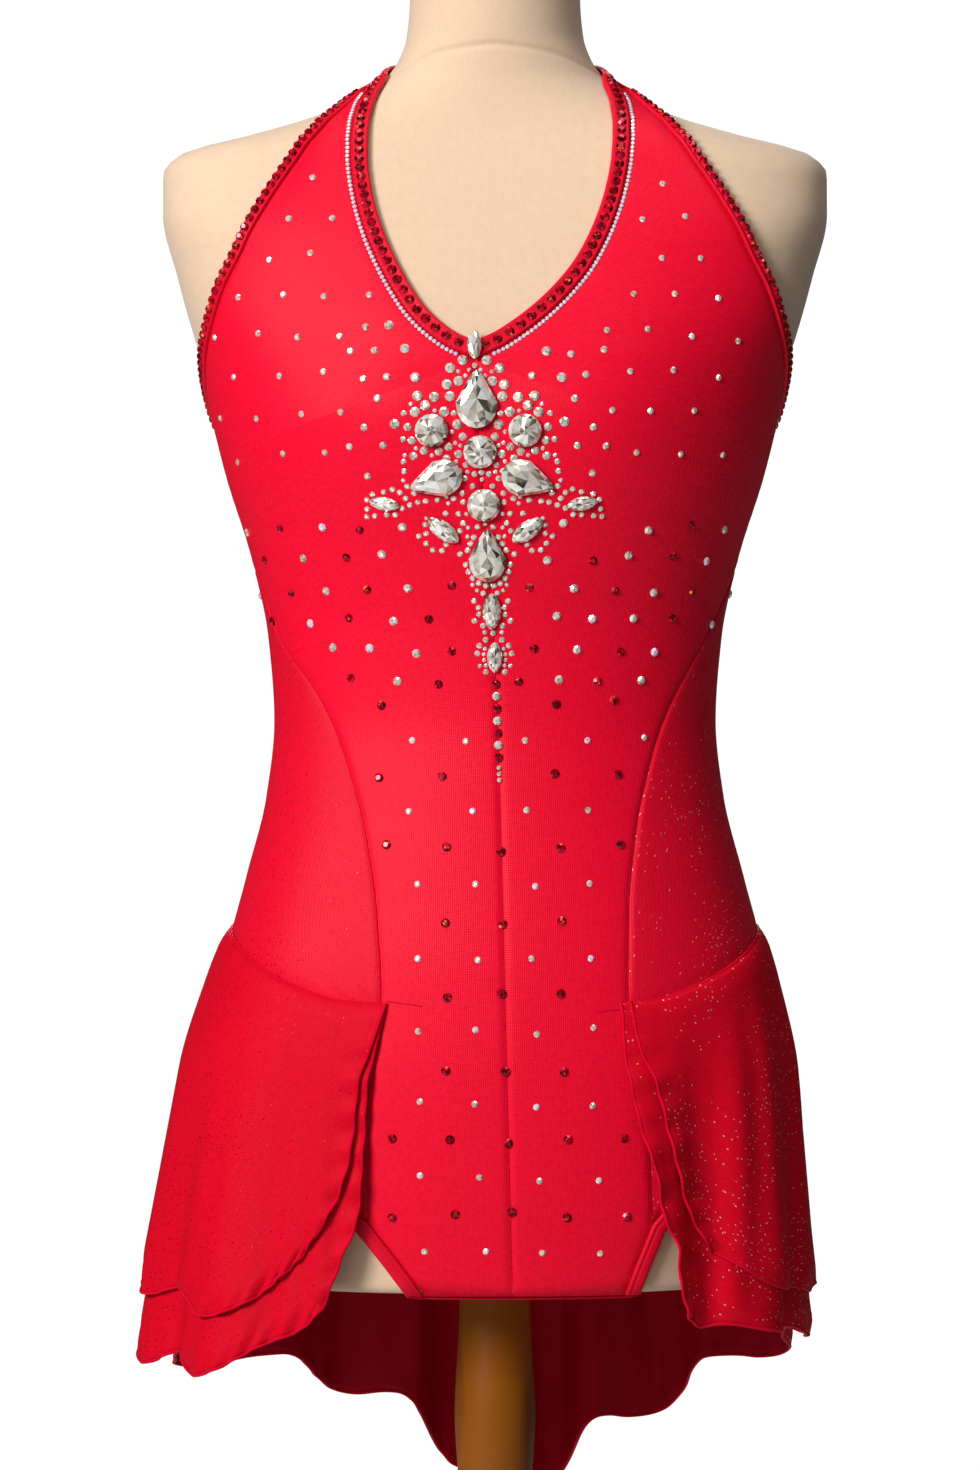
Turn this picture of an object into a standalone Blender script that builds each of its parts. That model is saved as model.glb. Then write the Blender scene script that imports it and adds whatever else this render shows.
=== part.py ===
"""Skirted leotard on a limbless dress form.

The frame is in metres, +Z up, the garment's front towards -Y, the origin on the floor
under the middle of the stand. Sizes below are millimetres unless a name says otherwise.

Cloth is placed by two numbers, as on a chart of the torso: a turn in degrees about the
upright axis (0 at centre front, 90 at the +X side, 180 at centre back) and a height above
the torso's underside. torso_point() turns the two into a point.
"""

import math
from collections import namedtuple
from functools import partial

import bmesh
import bpy
import numpy as np
from mathutils import Vector

MM = 0.001
MERGE = 0.1 * MM
ON_MIDDLE = 1e-6
SHARP_ANGLE = math.radians(45)

# How finely places on the torso are worked out: degrees, millimetres and halvings
TURN_NUDGE = 0.05
HEIGHT_NUDGE = 0.2
STRIDE = 1.5
HALVINGS = 40
MITRE_LIMIT = 0.8

# Driving sizes of the stand and the torso
TORSO_UNDERSIDE = 680.0
TORSO_SEGMENTS = 32
EDGE_ROUNDING = 5.0
POLE_GAP = 0.3
BASE_RADIUS = 188.0
POLE_STEPS = 20
BASE_STEPS = 36

# Driving sizes of the cloth
CLOTH_GAP = 0.9
TORSO_INSET = 0.9
BODICE_WALL = 1.5
BINDING_WALL = 2.4
NECKLINE_BINDING_WIDTH = 8.6
ARMHOLE_BINDING_WIDTH = 5.6
LEG_BINDING_WIDTH = 7.5
SEAM_GAP = 0.5
SKIRT_WALL = 1.0
LAYER_GAP = 0.45
GUSSET_WALL = 1.5
STONE_GAP = 0.6
BODICE_HEM = -0.4

Section = namedtuple("Section", "height half_width front back squareness")
TORSO_SECTIONS = [
    Section(0, 131.0, 80, 88, 2.2),
    Section(50, 138.5, 86, 99, 2.2),
    Section(105, 140.0, 88, 104, 2.2),
    Section(150, 134.5, 86, 99, 2.2),
    Section(200, 122.0, 80, 87, 2.2),
    Section(240, 112.0, 75, 77, 2.15),
    Section(278, 108.0, 72, 71, 2.1),
    Section(320, 111.0, 75, 70, 2.1),
    Section(360, 119.5, 83, 73, 2.15),
    Section(400, 132.0, 90, 79, 2.25),
    Section(430, 139.5, 92, 84, 2.35),
    Section(448, 143.5, 91, 87, 2.4),
    Section(468, 150.5, 87, 90, 2.5),
    Section(500, 159.5, 77, 92, 2.7),
    Section(530, 166.5, 65, 90, 3.0),
    Section(550, 166.5, 56, 85, 3.0),
    Section(560, 157.0, 51.5, 80, 2.9),
    Section(568, 128.0, 48, 75, 2.7),
    Section(578, 94.0, 45, 69, 2.4),
    Section(588, 71.0, 43, 62, 2.2),
    Section(598, 56.0, 42, 55, 2.1),
    Section(609, 48.5, 42, 50, 2.05),
    Section(620, 45.0, 42.5, 47, 2.0),
    Section(640, 43.5, 43, 45, 2.0),
    Section(662, 43.5, 43, 44.5, 2.0),
]
TORSO_RINGS = [
    0, 5, 30, 65, 105, 145, 185, 225, 255, 280, 302, 324, 346, 370, 395, 418, 440, 465,
    490, 512, 530,
    542, 550, 556, 562, 568, 575, 583, 592, 604, 620, 640, 657, 662,
]
BUST = {"across": 62.0, "height": 425.0, "spread": 34.0, "rise": 7.0}

# Where the centre front line sits: the dress is put on with a slight twist
Drift = namedtuple("Drift", "height across")
CENTRE_FRONT = [
    Drift(-5, 8.6),
    Drift(120, 5.3),
    Drift(200, 3.4),
    Drift(305, 0.0),
    Drift(380, -5.3),
    Drift(460, -10.0),
    Drift(500, -4.8),
    Drift(560, -2.4),
    Drift(610, 0.0),
]

# Edges of the front, as distances to each side of the centre front line
Edge = namedtuple("Edge", "height from_centre")
NECKLINE_POINT = 460.4
NECKLINE = [
    Edge(463.8, 8.0),
    Edge(469.0, 16.0),
    Edge(477.5, 25.9),
    Edge(488.0, 34.8),
    Edge(500.0, 42.7),
    Edge(513.0, 49.1),
    Edge(526.0, 53.9),
    Edge(539.0, 57.2),
    Edge(549.0, 58.9),
    Edge(560.0, 59.6),
    Edge(570.0, 59.4),
    Edge(578.0, 58.2),
    Edge(586.0, 56.3),
    Edge(592.0, 53.8),
]
PRINCESS_FRONT = [
    Edge(30.0, 74.0),
    Edge(80.0, 67.0),
    Edge(141.5, 59.5),
    Edge(186.0, 60.7),
    Edge(227.0, 65.9),
    Edge(259.0, 73.9),
    Edge(293.0, 87.8),
    Edge(324.0, 106.0),
]

# Lines given by turn about the body, the same on both sides
Mark = namedtuple("Mark", "turn height")
NECKLINE_END = Mark(72, 597.5)
ARMHOLE_FRONT = [
    Mark(80, 588.5),
    Mark(76, 585),
    Mark(71.8, 580),
    Mark(68.6, 574.2),
    Mark(64.8, 563),
    Mark(63.8, 552),
    Mark(64, 532),
    Mark(65.4, 512),
    Mark(68.6, 493),
    Mark(72.9, 474),
    Mark(80, 457),
    Mark(90, 440),
]
ARMHOLE_BACK = [
    Mark(90, 440),
    Mark(98, 424),
    Mark(106, 404),
    Mark(115, 378),
    Mark(127, 345),
    Mark(142, 316),
    Mark(158, 298),
    Mark(170, 292.3),
    Mark(179.8, 291),
]
PRINCESS_TOP = [Mark(83.5, 345), Mark(90, 357)]
PRINCESS_BACK = [
    Mark(143, 44),
    Mark(146, 90),
    Mark(149, 150),
    Mark(147, 200),
    Mark(141, 245),
    Mark(131, 285),
    Mark(116, 322),
    Mark(100, 346),
]
LEG_SIDE = [
    Mark(60, 56),
    Mark(75, 76),
    Mark(90, 84),
    Mark(108, 80),
    Mark(128, 62),
    Mark(145, 34),
]
LEG_BACK = Mark(159, BODICE_HEM)
LEG_OVERRUN = 12.0
NECKBAND_UPPER = [
    Mark(72.8, 597.8),
    Mark(86, 602.5),
    Mark(100, 606),
    Mark(125, 610),
    Mark(155, 613),
    Mark(180, 614),
]
NECKBAND_LOWER = [
    Mark(80.8, 588.8),
    Mark(100, 591),
    Mark(125, 592),
    Mark(155, 594),
    Mark(180, 595),
]

# How many steps each seam has, shared by the pieces on its two sides
CENTRE_STEPS = 17
NECKLINE_STEPS = 15
ARMHOLE_FRONT_STEPS = 13
ARMHOLE_BACK_STEPS = 11
SIDE_SEAM_STEPS = 4
PRINCESS_STEPS = 14
LEG_END_STEPS = 1
LEG_SIDE_STEPS = 12
FRONT_COLUMNS = 10
BACK_COLUMNS = 6
NECKBAND_STEPS = 8
SIDE_PANEL_TOP = 10.0
SIDE_PANEL_SLOPE = 1.3

# The gusset under the torso, which passes beside the pole: depth is front to back, 0 to 1
GussetRow = namedtuple("GussetRow", "depth centre half_width")
GUSSET = [
    GussetRow(0.0, 13.4, 56.5),
    GussetRow(0.15, 27.0, 42.0),
    GussetRow(0.32, 48.0, 25.0),
    GussetRow(0.5, 52.0, 24.0),
    GussetRow(0.68, 47.0, 25.0),
    GussetRow(0.86, 20.0, 29.0),
    GussetRow(1.0, 0.0, 31.0),
]
GUSSET_DROP = 0.8
GUSSET_OVERHANG = 1.2
GUSSET_ROWS = 16
GUSSET_COLUMNS = 8

# The skirt. Girth runs from centre front round the -X side, the back and the +X side
SeamMark = namedtuple("SeamMark", "girth height")
SKIRT_SEAM = [
    SeamMark(30, 141.5),
    SeamMark(45, 143.5),
    SeamMark(57, 150.5),
    SeamMark(70, 162.0),
    SeamMark(80, 171.0),
    SeamMark(92, 176.5),
    SeamMark(112, 172.0),
    SeamMark(140, 157.0),
    SeamMark(162, 146.0),
    SeamMark(180, 142.0),
]
Flare = namedtuple("Flare", "girth rate")
SKIRT_FLARE = [
    Flare(30, 0.02),
    Flare(50, 0.05),
    Flare(72, 0.12),
    Flare(90, 0.145),
    Flare(125, 0.15),
    Flare(180, 0.14),
    Flare(235, 0.10),
    Flare(270, 0.045),
    Flare(295, 0.04),
    Flare(330, 0.02),
]
Fold = namedtuple("Fold", "girth depth half_width")
SKIRT_FOLDS = [
    Fold(50, 2.0, 6),
    Fold(66, 5.0, 6),
    Fold(76, -5.0, 5),
    Fold(88, 2.0, 7),
    Fold(102, -5.0, 7),
    Fold(116, 7.0, 8),
    Fold(131, -7.0, 7),
    Fold(145, 9.0, 7),
    Fold(158, -8.0, 6),
    Fold(170, 10.0, 6),
    Fold(181, -8.0, 6),
    Fold(193, 10.0, 6),
    Fold(205, -8.0, 6),
    Fold(218, 8.0, 7),
    Fold(231, -7.0, 7),
    Fold(244, 6.0, 7),
    Fold(257, -4.5, 6),
    Fold(271, 2.0, 6),
    Fold(281, -4.0, 5),
    Fold(292, 3.0, 5),
    Fold(301, -3.0, 5),
    Fold(310, 2.0, 5),
]
FOLD_FULL_DROP = 170.0
FOLD_GROWTH = 1.7
HEM_SWAY = 0.8
HIP_HEIGHT = 105.0
SEAM_DROP = 0.5
GIRTH_REACH = 2.4

Layer = namedtuple("Layer", "name lift spread left_edge hem right_edge")
UNDER_LAYER = Layer(
    "skirt_under",
    lift=CLOTH_GAP + BODICE_WALL + LAYER_GAP,
    spread=0.012,
    left_edge=[
        Mark(32.5, 140.2),
        Mark(34.5, 122),
        Mark(36.6, 101),
        Mark(37.4, 76),
        Mark(38.0, 52),
        Mark(39.0, 36),
        Mark(43.0, 14),
        Mark(46.5, -6),
    ],
    hem=[
        Mark(51, -15),
        Mark(58, -23),
        Mark(66, -34),
        Mark(72, -40),
        Mark(78, -36),
        Mark(86, -42),
        Mark(92, -41),
        Mark(104, -44),
        Mark(120, -52),
        Mark(138, -62),
        Mark(155, -80),
        Mark(168, -104),
        Mark(180, -118),
        Mark(192, -116),
        Mark(204, -98),
        Mark(216, -80),
        Mark(230, -60),
        Mark(246, -42),
        Mark(262, -30),
        Mark(272, -27),
        Mark(284, -22),
        Mark(296, -16),
        Mark(304, -17),
    ],
    right_edge=[
        Mark(322.8, 140.2),
        Mark(322.8, 120),
        Mark(321.8, 102),
        Mark(319.6, 80),
        Mark(316.6, 58),
        Mark(314.6, 38),
        Mark(311.4, 22),
        Mark(311.0, 8),
        Mark(308.0, -10),
    ],
)
UPPER_LAYER = Layer(
    "skirt_upper",
    lift=UNDER_LAYER.lift + SKIRT_WALL + LAYER_GAP,
    spread=0.030,
    left_edge=[
        Mark(32.5, 141.0),
        Mark(35.5, 122),
        Mark(38.4, 104),
        Mark(39.4, 85),
        Mark(40.4, 66),
        Mark(43.0, 48),
        Mark(48.5, 26),
    ],
    hem=[
        Mark(54.5, 10),
        Mark(61, -3),
        Mark(68, -8),
        Mark(75, -3),
        Mark(84, -5),
        Mark(92, -4),
        Mark(106, -8),
        Mark(124, -18),
        Mark(142, -32),
        Mark(160, -50),
        Mark(180, -62),
        Mark(200, -54),
        Mark(218, -36),
        Mark(238, -18),
        Mark(256, -6),
        Mark(270, -2),
        Mark(276, -5),
        Mark(284, -2),
        Mark(292, 5),
        Mark(299, 14),
    ],
    right_edge=[
        Mark(320.6, 141.0),
        Mark(319.6, 122),
        Mark(316.4, 104),
        Mark(314.0, 84),
        Mark(312.0, 65),
        Mark(309.6, 46),
        Mark(306.0, 30),
        Mark(302.5, 20),
    ],
)
SKIRT_COLUMNS = 80
SKIRT_ROWS = 6

# Large stones of the pendant. Down is from the neckline point, along the centre front
Stone = namedtuple("Stone", "name outline length width down across tilt")
STONES = [
    Stone("stone_top", "navette", 15, 7, 3, 0, 0),
    Stone("stone_drop_upper", "drop", 28, 20, 28.5, 0, 0),
    Stone("stone_disc_wing", "disc", 16, 16, 43, 22.5, 0),
    Stone("stone_disc_upper", "disc", 16, 16, 53, 0, 0),
    Stone("stone_drop_wing", "drop", 26, 18, 66, 22, 108),
    Stone("stone_disc_lower", "disc", 16, 16, 78, 0, 0),
    Stone("stone_leaf_outer", "navette", 15, 7, 77, 47, 80),
    Stone("stone_leaf_inner", "navette", 18, 9, 90, 20, 52),
    Stone("stone_drop_lower", "drop", 26, 18, 102, 0, 0),
    Stone("stone_leaf_upper", "navette", 18, 9, 129, 0, 0),
    Stone("stone_leaf_lower", "navette", 15, 7.5, 151.5, 0, 0),
]
STONE_POINTS = 12
STONE_DEPTH = 0.24
STONE_LEAST_DEPTH = 1.0
STONE_MOST_DEPTH = 5.0
STONE_BACK = 0.94
STONE_GIRDLE = 0.35
STONE_TABLE = 0.55
NAVETTE_POINT = 0.35
DROP_TAPER = 0.52
DROP_ROUND = 0.8
DROP_SHIFT = 0.12
ON_BINDING = 10.0

Profile = namedtuple("Profile", "radius height")
POLE = [
    Profile(15.5, -POLE_GAP),
    Profile(17.5, -3),
    Profile(17.8, -20),
    Profile(20.2, -68),
    Profile(18.2, -104),
    Profile(16.5, -160),
    Profile(15.5, -300),
    Profile(17.0, -480),
    Profile(20.0, -600),
    Profile(26.0, -640),
    Profile(26.0, -653.7),
]
BASE = [
    Profile(30.0, 26),
    Profile(38.0, 25),
    Profile(BASE_RADIUS - 14, 15),
    Profile(BASE_RADIUS - 3, 11),
    Profile(BASE_RADIUS, 6),
    Profile(BASE_RADIUS - 2, 0),
]

Finish = namedtuple("Finish", "color roughness metallic")
FINISHES = {
    "red_stretch": Finish((0.80, 0.01, 0.035), 0.45, 0.0),
    "red_glitter": Finish((0.72, 0.01, 0.03), 0.42, 0.0),
    "red_binding": Finish((0.62, 0.008, 0.03), 0.4, 0.0),
    "cream_jersey": Finish((0.80, 0.62, 0.43), 0.85, 0.0),
    "crystal": Finish((0.78, 0.76, 0.72), 0.08, 0.6),
    "turned_wood": Finish((0.36, 0.17, 0.03), 0.35, 0.0),
}


def through(xs, ys):
    """A smooth function through points, which doesn't overshoot between them."""
    xs, ys = np.asarray(xs, float), np.asarray(ys, float)
    step, rise = np.diff(xs), np.diff(ys) / np.diff(xs)
    slope = np.empty(len(xs))
    slope[0], slope[-1] = rise[0], rise[-1]
    for i in range(1, len(xs) - 1):
        if rise[i - 1] * rise[i] <= 0:
            slope[i] = 0.0
        else:
            before, after = 2 * step[i] + step[i - 1], step[i] + 2 * step[i - 1]
            slope[i] = (before + after) / (before / rise[i - 1] + after / rise[i])

    def value(x):
        x = min(max(x, xs[0]), xs[-1])
        i = min(int(np.searchsorted(xs, x, side="right")) - 1, len(step) - 1)
        t = (x - xs[i]) / step[i]
        return float(
            ys[i] * (1 + 2 * t) * (1 - t) ** 2
            + ys[i + 1] * t * t * (3 - 2 * t)
            + slope[i] * step[i] * t * (1 - t) ** 2
            - slope[i + 1] * step[i] * t * t * (1 - t)
        )

    return value


def columns(rows):
    """A smooth function of the first column for each other column of a table."""
    return {
        name: through([r[0] for r in rows], [getattr(r, name) for r in rows])
        for name in rows[0]._fields[1:]
    }


SHAPE = columns(TORSO_SECTIONS)
CENTRE = columns(CENTRE_FRONT)["across"]


def torso_point(turn, height):
    """The torso's surface at a turn in degrees and a height."""
    angle = math.radians(turn)
    sine, cosine = math.sin(angle), math.cos(angle)
    depth = SHAPE["front"](height) if cosine > 0 else SHAPE["back"](height)
    power = SHAPE["squareness"](height)
    side = abs(sine / SHAPE["half_width"](height)) ** power
    reach = (side + abs(cosine / depth) ** power) ** (-1 / power)
    point = Vector((reach * sine, -reach * cosine, height))
    if cosine > 0:
        for side in (-1, 1):
            away = (point.x - side * BUST["across"]) ** 2 + (height - BUST["height"]) ** 2
            swell = math.exp(-away / (2 * BUST["spread"] ** 2))
            point.y -= BUST["rise"] * swell * math.sqrt(cosine)
    return point


def torso_normal(turn, height):
    """The outward direction of the torso's surface."""
    across = torso_point(turn + TURN_NUDGE, height) - torso_point(turn - TURN_NUDGE, height)
    up = torso_point(turn, height + HEIGHT_NUDGE) - torso_point(turn, height - HEIGHT_NUDGE)
    return across.cross(up).normalized()


def lifted(turn, height, lift):
    """A point that stands clear of the torso by lift."""
    return torso_point(turn, height) + torso_normal(turn, height) * lift


def turn_at(height, across):
    """The turn at which the front of the torso is across millimetres from its middle."""
    low, high = -90.0, 90.0
    for _ in range(HALVINGS):
        middle = (low + high) / 2
        if torso_point(middle, height).x < across:
            low = middle
        else:
            high = middle
    return (low + high) / 2


def slide(turn, height, direction, distance):
    """The chart place reached from one by going a distance along the surface."""
    steps = max(1, math.ceil(distance / STRIDE))
    for _ in range(steps):
        here = torso_point(turn, height)
        per_turn = (torso_point(turn + TURN_NUDGE, height) - here) / TURN_NUDGE
        per_height = (torso_point(turn, height + HEIGHT_NUDGE) - here) / HEIGHT_NUDGE
        normal = per_turn.cross(per_height).normalized()
        step = direction - normal * direction.dot(normal)
        step = step.normalized() * (distance / steps)
        a, b, c = per_turn.dot(per_turn), per_turn.dot(per_height), per_height.dot(per_height)
        p, q = step.dot(per_turn), step.dot(per_height)
        det = a * c - b * b
        turn += (p * c - q * b) / det
        height += (q * a - p * b) / det
    return Mark(turn, height)


def inset(line, distance):
    """A chart line moved to its left by a distance, as seen from outside the body."""
    points = [torso_point(*m) for m in line]
    moved = []
    for i, mark in enumerate(line):
        before, after = points[max(i - 1, 0)], points[min(i + 1, len(points) - 1)]
        tangent = (after - before).normalized()
        side = torso_normal(*mark).cross(tangent)
        mitre = 1.0
        if 0 < i < len(points) - 1:
            bend = (points[i] - before).normalized().dot(tangent)
            mitre = 1 / max(bend, MITRE_LIMIT)
        if distance < 0:
            side = -side
        moved.append(slide(mark.turn, mark.height, side, abs(distance) * mitre))
    return moved


def resampled(line, count):
    """A chart line as count + 1 marks at equal distances along it."""
    points = [torso_point(*m) for m in line]
    run = np.concatenate(
        [[0.0], np.cumsum([(b - a).length for a, b in zip(points, points[1:])])]
    )
    turn, height = through(run, [m.turn for m in line]), through(run, [m.height for m in line])
    return [Mark(turn(run[-1] * i / count), height(run[-1] * i / count)) for i in range(count + 1)]


def chained(*lines):
    """Lines joined end to end, without repeating the marks where they meet."""
    joined = list(lines[0])
    for line in lines[1:]:
        joined += line[1:]
    return joined


def mirrored(line):
    """The same line on the other side of the body."""
    return [Mark(-m.turn, m.height) for m in line]


def straight(start, end, count):
    """A chart line of count equal steps between two marks."""
    return [
        Mark(*(np.array(start) + (np.array(end) - np.array(start)) * i / count))
        for i in range(count + 1)
    ]


def patch(left, right, columns_across, bottom=None, top=None):
    """Chart marks in rows between four edges. Left and right run upwards, bottom and top across."""
    bottom = bottom or straight(left[0], right[0], columns_across)
    top = top or straight(left[-1], right[-1], columns_across)
    left, right, bottom, top = (np.array(line, float) for line in (left, right, bottom, top))
    rows = []
    for i in range(len(left)):
        v = i / (len(left) - 1)
        row = []
        for j in range(len(bottom)):
            u = j / (len(bottom) - 1)
            sides = (1 - u) * left[i] + u * right[i]
            ends = (1 - v) * bottom[j] + v * top[j]
            low = (1 - u) * left[0] + u * right[0]
            high = (1 - u) * left[-1] + u * right[-1]
            row.append(Mark(*(sides + ends - (1 - v) * low - v * high)))
        rows.append(row)
    return rows


def finish(name):
    """The material of a finish, made once."""
    if name in bpy.data.materials:
        return bpy.data.materials[name]
    material = bpy.data.materials.new(name)
    material.use_nodes = True
    shader = material.node_tree.nodes["Principled BSDF"]
    shader.inputs["Base Color"].default_value = (*FINISHES[name].color, 1.0)
    shader.inputs["Roughness"].default_value = FINISHES[name].roughness
    shader.inputs["Metallic"].default_value = FINISHES[name].metallic
    return material


def add_object(name, mesh, finish_name):
    """An object of the model at the torso's height, with its finish."""
    piece = bpy.data.objects.new(name, mesh)
    piece.location.z = TORSO_UNDERSIDE * MM
    piece.data.materials.append(finish(finish_name))
    MODEL.objects.link(piece)
    return piece


def sheet_mesh(name, rows):
    """An open sheet through rows of points, given in millimetres, facing outwards."""
    shape = bmesh.new()
    grid = [[shape.verts.new(p * MM) for p in row] for row in rows]
    for low, high in zip(grid, grid[1:]):
        for a, b, c, d in zip(low, low[1:], high[1:], high):
            shape.faces.new((a, b, c, d))
    bmesh.ops.recalc_face_normals(shape, faces=shape.faces)
    middle = shape.faces[len(shape.faces) // 2]
    axis_side = Vector((middle.calc_center_median().x, middle.calc_center_median().y, 0))
    if middle.normal.dot(axis_side) < 0:
        bmesh.ops.reverse_faces(shape, faces=shape.faces)
    mesh = bpy.data.meshes.new(name)
    shape.to_mesh(mesh)
    shape.free()
    mesh.shade_smooth()
    return mesh


def add_cloth(name, rows, wall, finish_name):
    """A hanging cloth piece: an open sheet thickened outwards."""
    piece = add_object(name, sheet_mesh(name, rows), finish_name)
    thickness = piece.modifiers.new("wall", "SOLIDIFY")
    thickness.thickness = wall * MM
    thickness.offset = 1.0
    return piece


def shell_mesh(name, marks, wall, half=False):
    """A closed wall over the torso, its edges square to the torso so that seams stay parallel.

    A half is left open at the plane x = 0, where it is mirrored.
    """
    shape = bmesh.new()
    inner, outer = (
        [[shape.verts.new(lifted(m.turn, m.height, lift) * MM) for m in row] for row in marks]
        for lift in (CLOTH_GAP, CLOTH_GAP + wall)
    )
    for grid in (inner, outer):
        for low, high in zip(grid, grid[1:]):
            for a, b, c, d in zip(low, low[1:], high[1:], high):
                shape.faces.new((a, b, c, d))
    around = [rim(grid) for grid in (inner, outer)]
    for i in range(len(around[0])):
        corners = [around[0][i - 1], around[0][i], around[1][i], around[1][i - 1]]
        if not (half and all(abs(v.co.x) < ON_MIDDLE for v in corners)):
            shape.faces.new(corners)
    bmesh.ops.triangulate(shape, faces=shape.faces, quad_method="SHORT_EDGE")
    bmesh.ops.recalc_face_normals(shape, faces=shape.faces)
    mesh = bpy.data.meshes.new(name)
    shape.to_mesh(mesh)
    shape.free()
    mesh.shade_smooth()
    mesh.set_sharp_from_angle(angle=SHARP_ANGLE)
    return mesh


def rim(grid):
    """The edge of a grid, once round."""
    right = [row[-1] for row in grid[1:-1]]
    left = [row[0] for row in grid[1:-1]]
    return grid[0] + right + grid[-1][::-1] + left[::-1]


def add_bodice_piece(name, marks, wall, finish_name):
    """A cloth piece that lies on the torso."""
    return add_object(name, shell_mesh(name, marks, wall), finish_name)


def add_binding(name, edge_at, width):
    """A binding, from a function that gives its lines at distances from the edge."""
    marks = [list(row) for row in zip(edge_at(0), edge_at(width / 2), edge_at(width))]
    add_bodice_piece(name, marks, BINDING_WALL, "red_binding")


def centre_line(low, high, shift):
    """The centre front line between two heights, moved aside by shift."""
    heights = np.linspace(low, high, CENTRE_STEPS + 1)
    return [Mark(turn_at(h, CENTRE(h) + shift), h) for h in heights]


def front_edge(table, side):
    """A table of distances from the centre front as a chart line on one side."""
    return [
        Mark(turn_at(e.height, CENTRE(e.height) + side * e.from_centre), e.height) for e in table
    ]


def neckline():
    """The neckline's edge from the -X end of the neckband to the +X end."""
    point = Mark(turn_at(NECKLINE_POINT, CENTRE(NECKLINE_POINT)), NECKLINE_POINT)
    left, right = (
        resampled([point] + front_edge(NECKLINE, side) + [across_strap(side, 0)], NECKLINE_STEPS)
        for side in (-1, 1)
    )
    return chained(left[::-1], right)


def across_strap(side, distance):
    """A mark on the strap's end, a distance from the neckline or, if negative, the armhole."""
    neck, arm = NECKLINE_END, ARMHOLE_FRONT[0]
    width = (torso_point(*neck) - torso_point(*arm)).length
    share = distance / width if distance >= 0 else 1 + distance / width
    turn = neck.turn + share * (arm.turn - neck.turn)
    return Mark(side * turn, neck.height + share * (arm.height - neck.height))


def neckline_at(distance):
    """The neckline's edge moved onto the bodice by a distance."""
    line = inset(neckline(), -distance)
    line[0], line[-1] = across_strap(-1, distance), across_strap(1, distance)
    return line


def armhole_at(side, distance):
    """The armhole's and open back's edge on one side, moved onto the bodice by a distance."""
    line = chained(
        resampled(ARMHOLE_FRONT, ARMHOLE_FRONT_STEPS), resampled(ARMHOLE_BACK, ARMHOLE_BACK_STEPS)
    )
    if distance:
        line = inset(line, -distance)
        line[0] = across_strap(1, -distance)
        line[-1] = Mark(ARMHOLE_BACK[-1].turn, line[-1].height)
    return line if side > 0 else mirrored(line)


def leg_opening_at(side, distance):
    """The leg opening's edge on one side, from front to back, moved onto the bodice."""
    start = GUSSET[0].centre + side * GUSSET[0].half_width
    corner = Mark(turn_at(0, start), BODICE_HEM)
    junction = front_edge(PRINCESS_FRONT, side)[0]
    along_side = [junction] + [Mark(side * m.turn, m.height) for m in LEG_SIDE]
    end = Mark(side * LEG_BACK.turn, LEG_BACK.height)
    line = chained(
        straight(corner, junction, LEG_END_STEPS),
        resampled(along_side, LEG_SIDE_STEPS),
        straight(along_side[-1], end, LEG_END_STEPS + 1),
    )
    line = [at_height(line[0], line[1], -LEG_OVERRUN)] + line[1:-1] + [
        at_height(line[-1], line[-2], -LEG_OVERRUN)
    ]
    line = inset(line, side * distance)
    line[0] = at_height(line[0], line[1], BODICE_HEM)
    line[-1] = at_height(line[-1], line[-2], BODICE_HEM)
    return line


def at_height(first, second, height):
    """The mark at a height on the line through two marks."""
    share = (height - first.height) / (second.height - first.height)
    return Mark(first.turn + share * (second.turn - first.turn), height)


def bodice_seams(side):
    """Every seam of one side of the bodice, by name, each sampled once."""
    neck = neckline_at(NECKLINE_BINDING_WIDTH + SEAM_GAP)
    arm = armhole_at(side, ARMHOLE_BINDING_WIDTH + SEAM_GAP)
    leg = leg_opening_at(side, LEG_BINDING_WIDTH + SEAM_GAP)
    back_corner = LEG_END_STEPS + LEG_SIDE_STEPS
    top = [Mark(side * m.turn, m.height) for m in PRINCESS_TOP]
    front_line = [leg[LEG_END_STEPS]] + front_edge(PRINCESS_FRONT, side)[1:] + top
    back_line = [Mark(side * m.turn, m.height) for m in PRINCESS_BACK]
    return {
        "neckline": neck[: NECKLINE_STEPS + 1][::-1] if side < 0 else neck[NECKLINE_STEPS:],
        "armhole": arm[: ARMHOLE_FRONT_STEPS + 1],
        "scoop": arm[ARMHOLE_FRONT_STEPS:],
        "side": straight(top[-1], arm[ARMHOLE_FRONT_STEPS], SIDE_SEAM_STEPS),
        "princess_front": resampled(front_line, PRINCESS_STEPS),
        "princess_back": resampled([leg[back_corner]] + back_line + top[-1:], PRINCESS_STEPS),
        "leg_front": leg[: LEG_END_STEPS + 1],
        "leg_side": leg[LEG_END_STEPS: back_corner + 1],
        "leg_back": leg[back_corner:],
    }


def build_front(side, word):
    """One half of the front, from the leg to the neckband."""
    seams = bodice_seams(side)
    outer = chained(
        seams["leg_front"], seams["princess_front"], seams["side"], seams["armhole"][::-1]
    )
    first, last = LEG_END_STEPS, LEG_END_STEPS + PRINCESS_STEPS + SIDE_SEAM_STEPS
    outer[first:last] = inset(outer, side * SEAM_GAP / 2)[first:last]
    neck = seams["neckline"]
    centre = centre_line(BODICE_HEM, neck[0].height, side * SEAM_GAP / 2)
    inner = chained(centre, [centre[-1]] + neck[1:])
    rows = patch(inner, outer, FRONT_COLUMNS)
    add_bodice_piece(f"front_{word}", rows, BODICE_WALL, "red_stretch")


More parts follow.
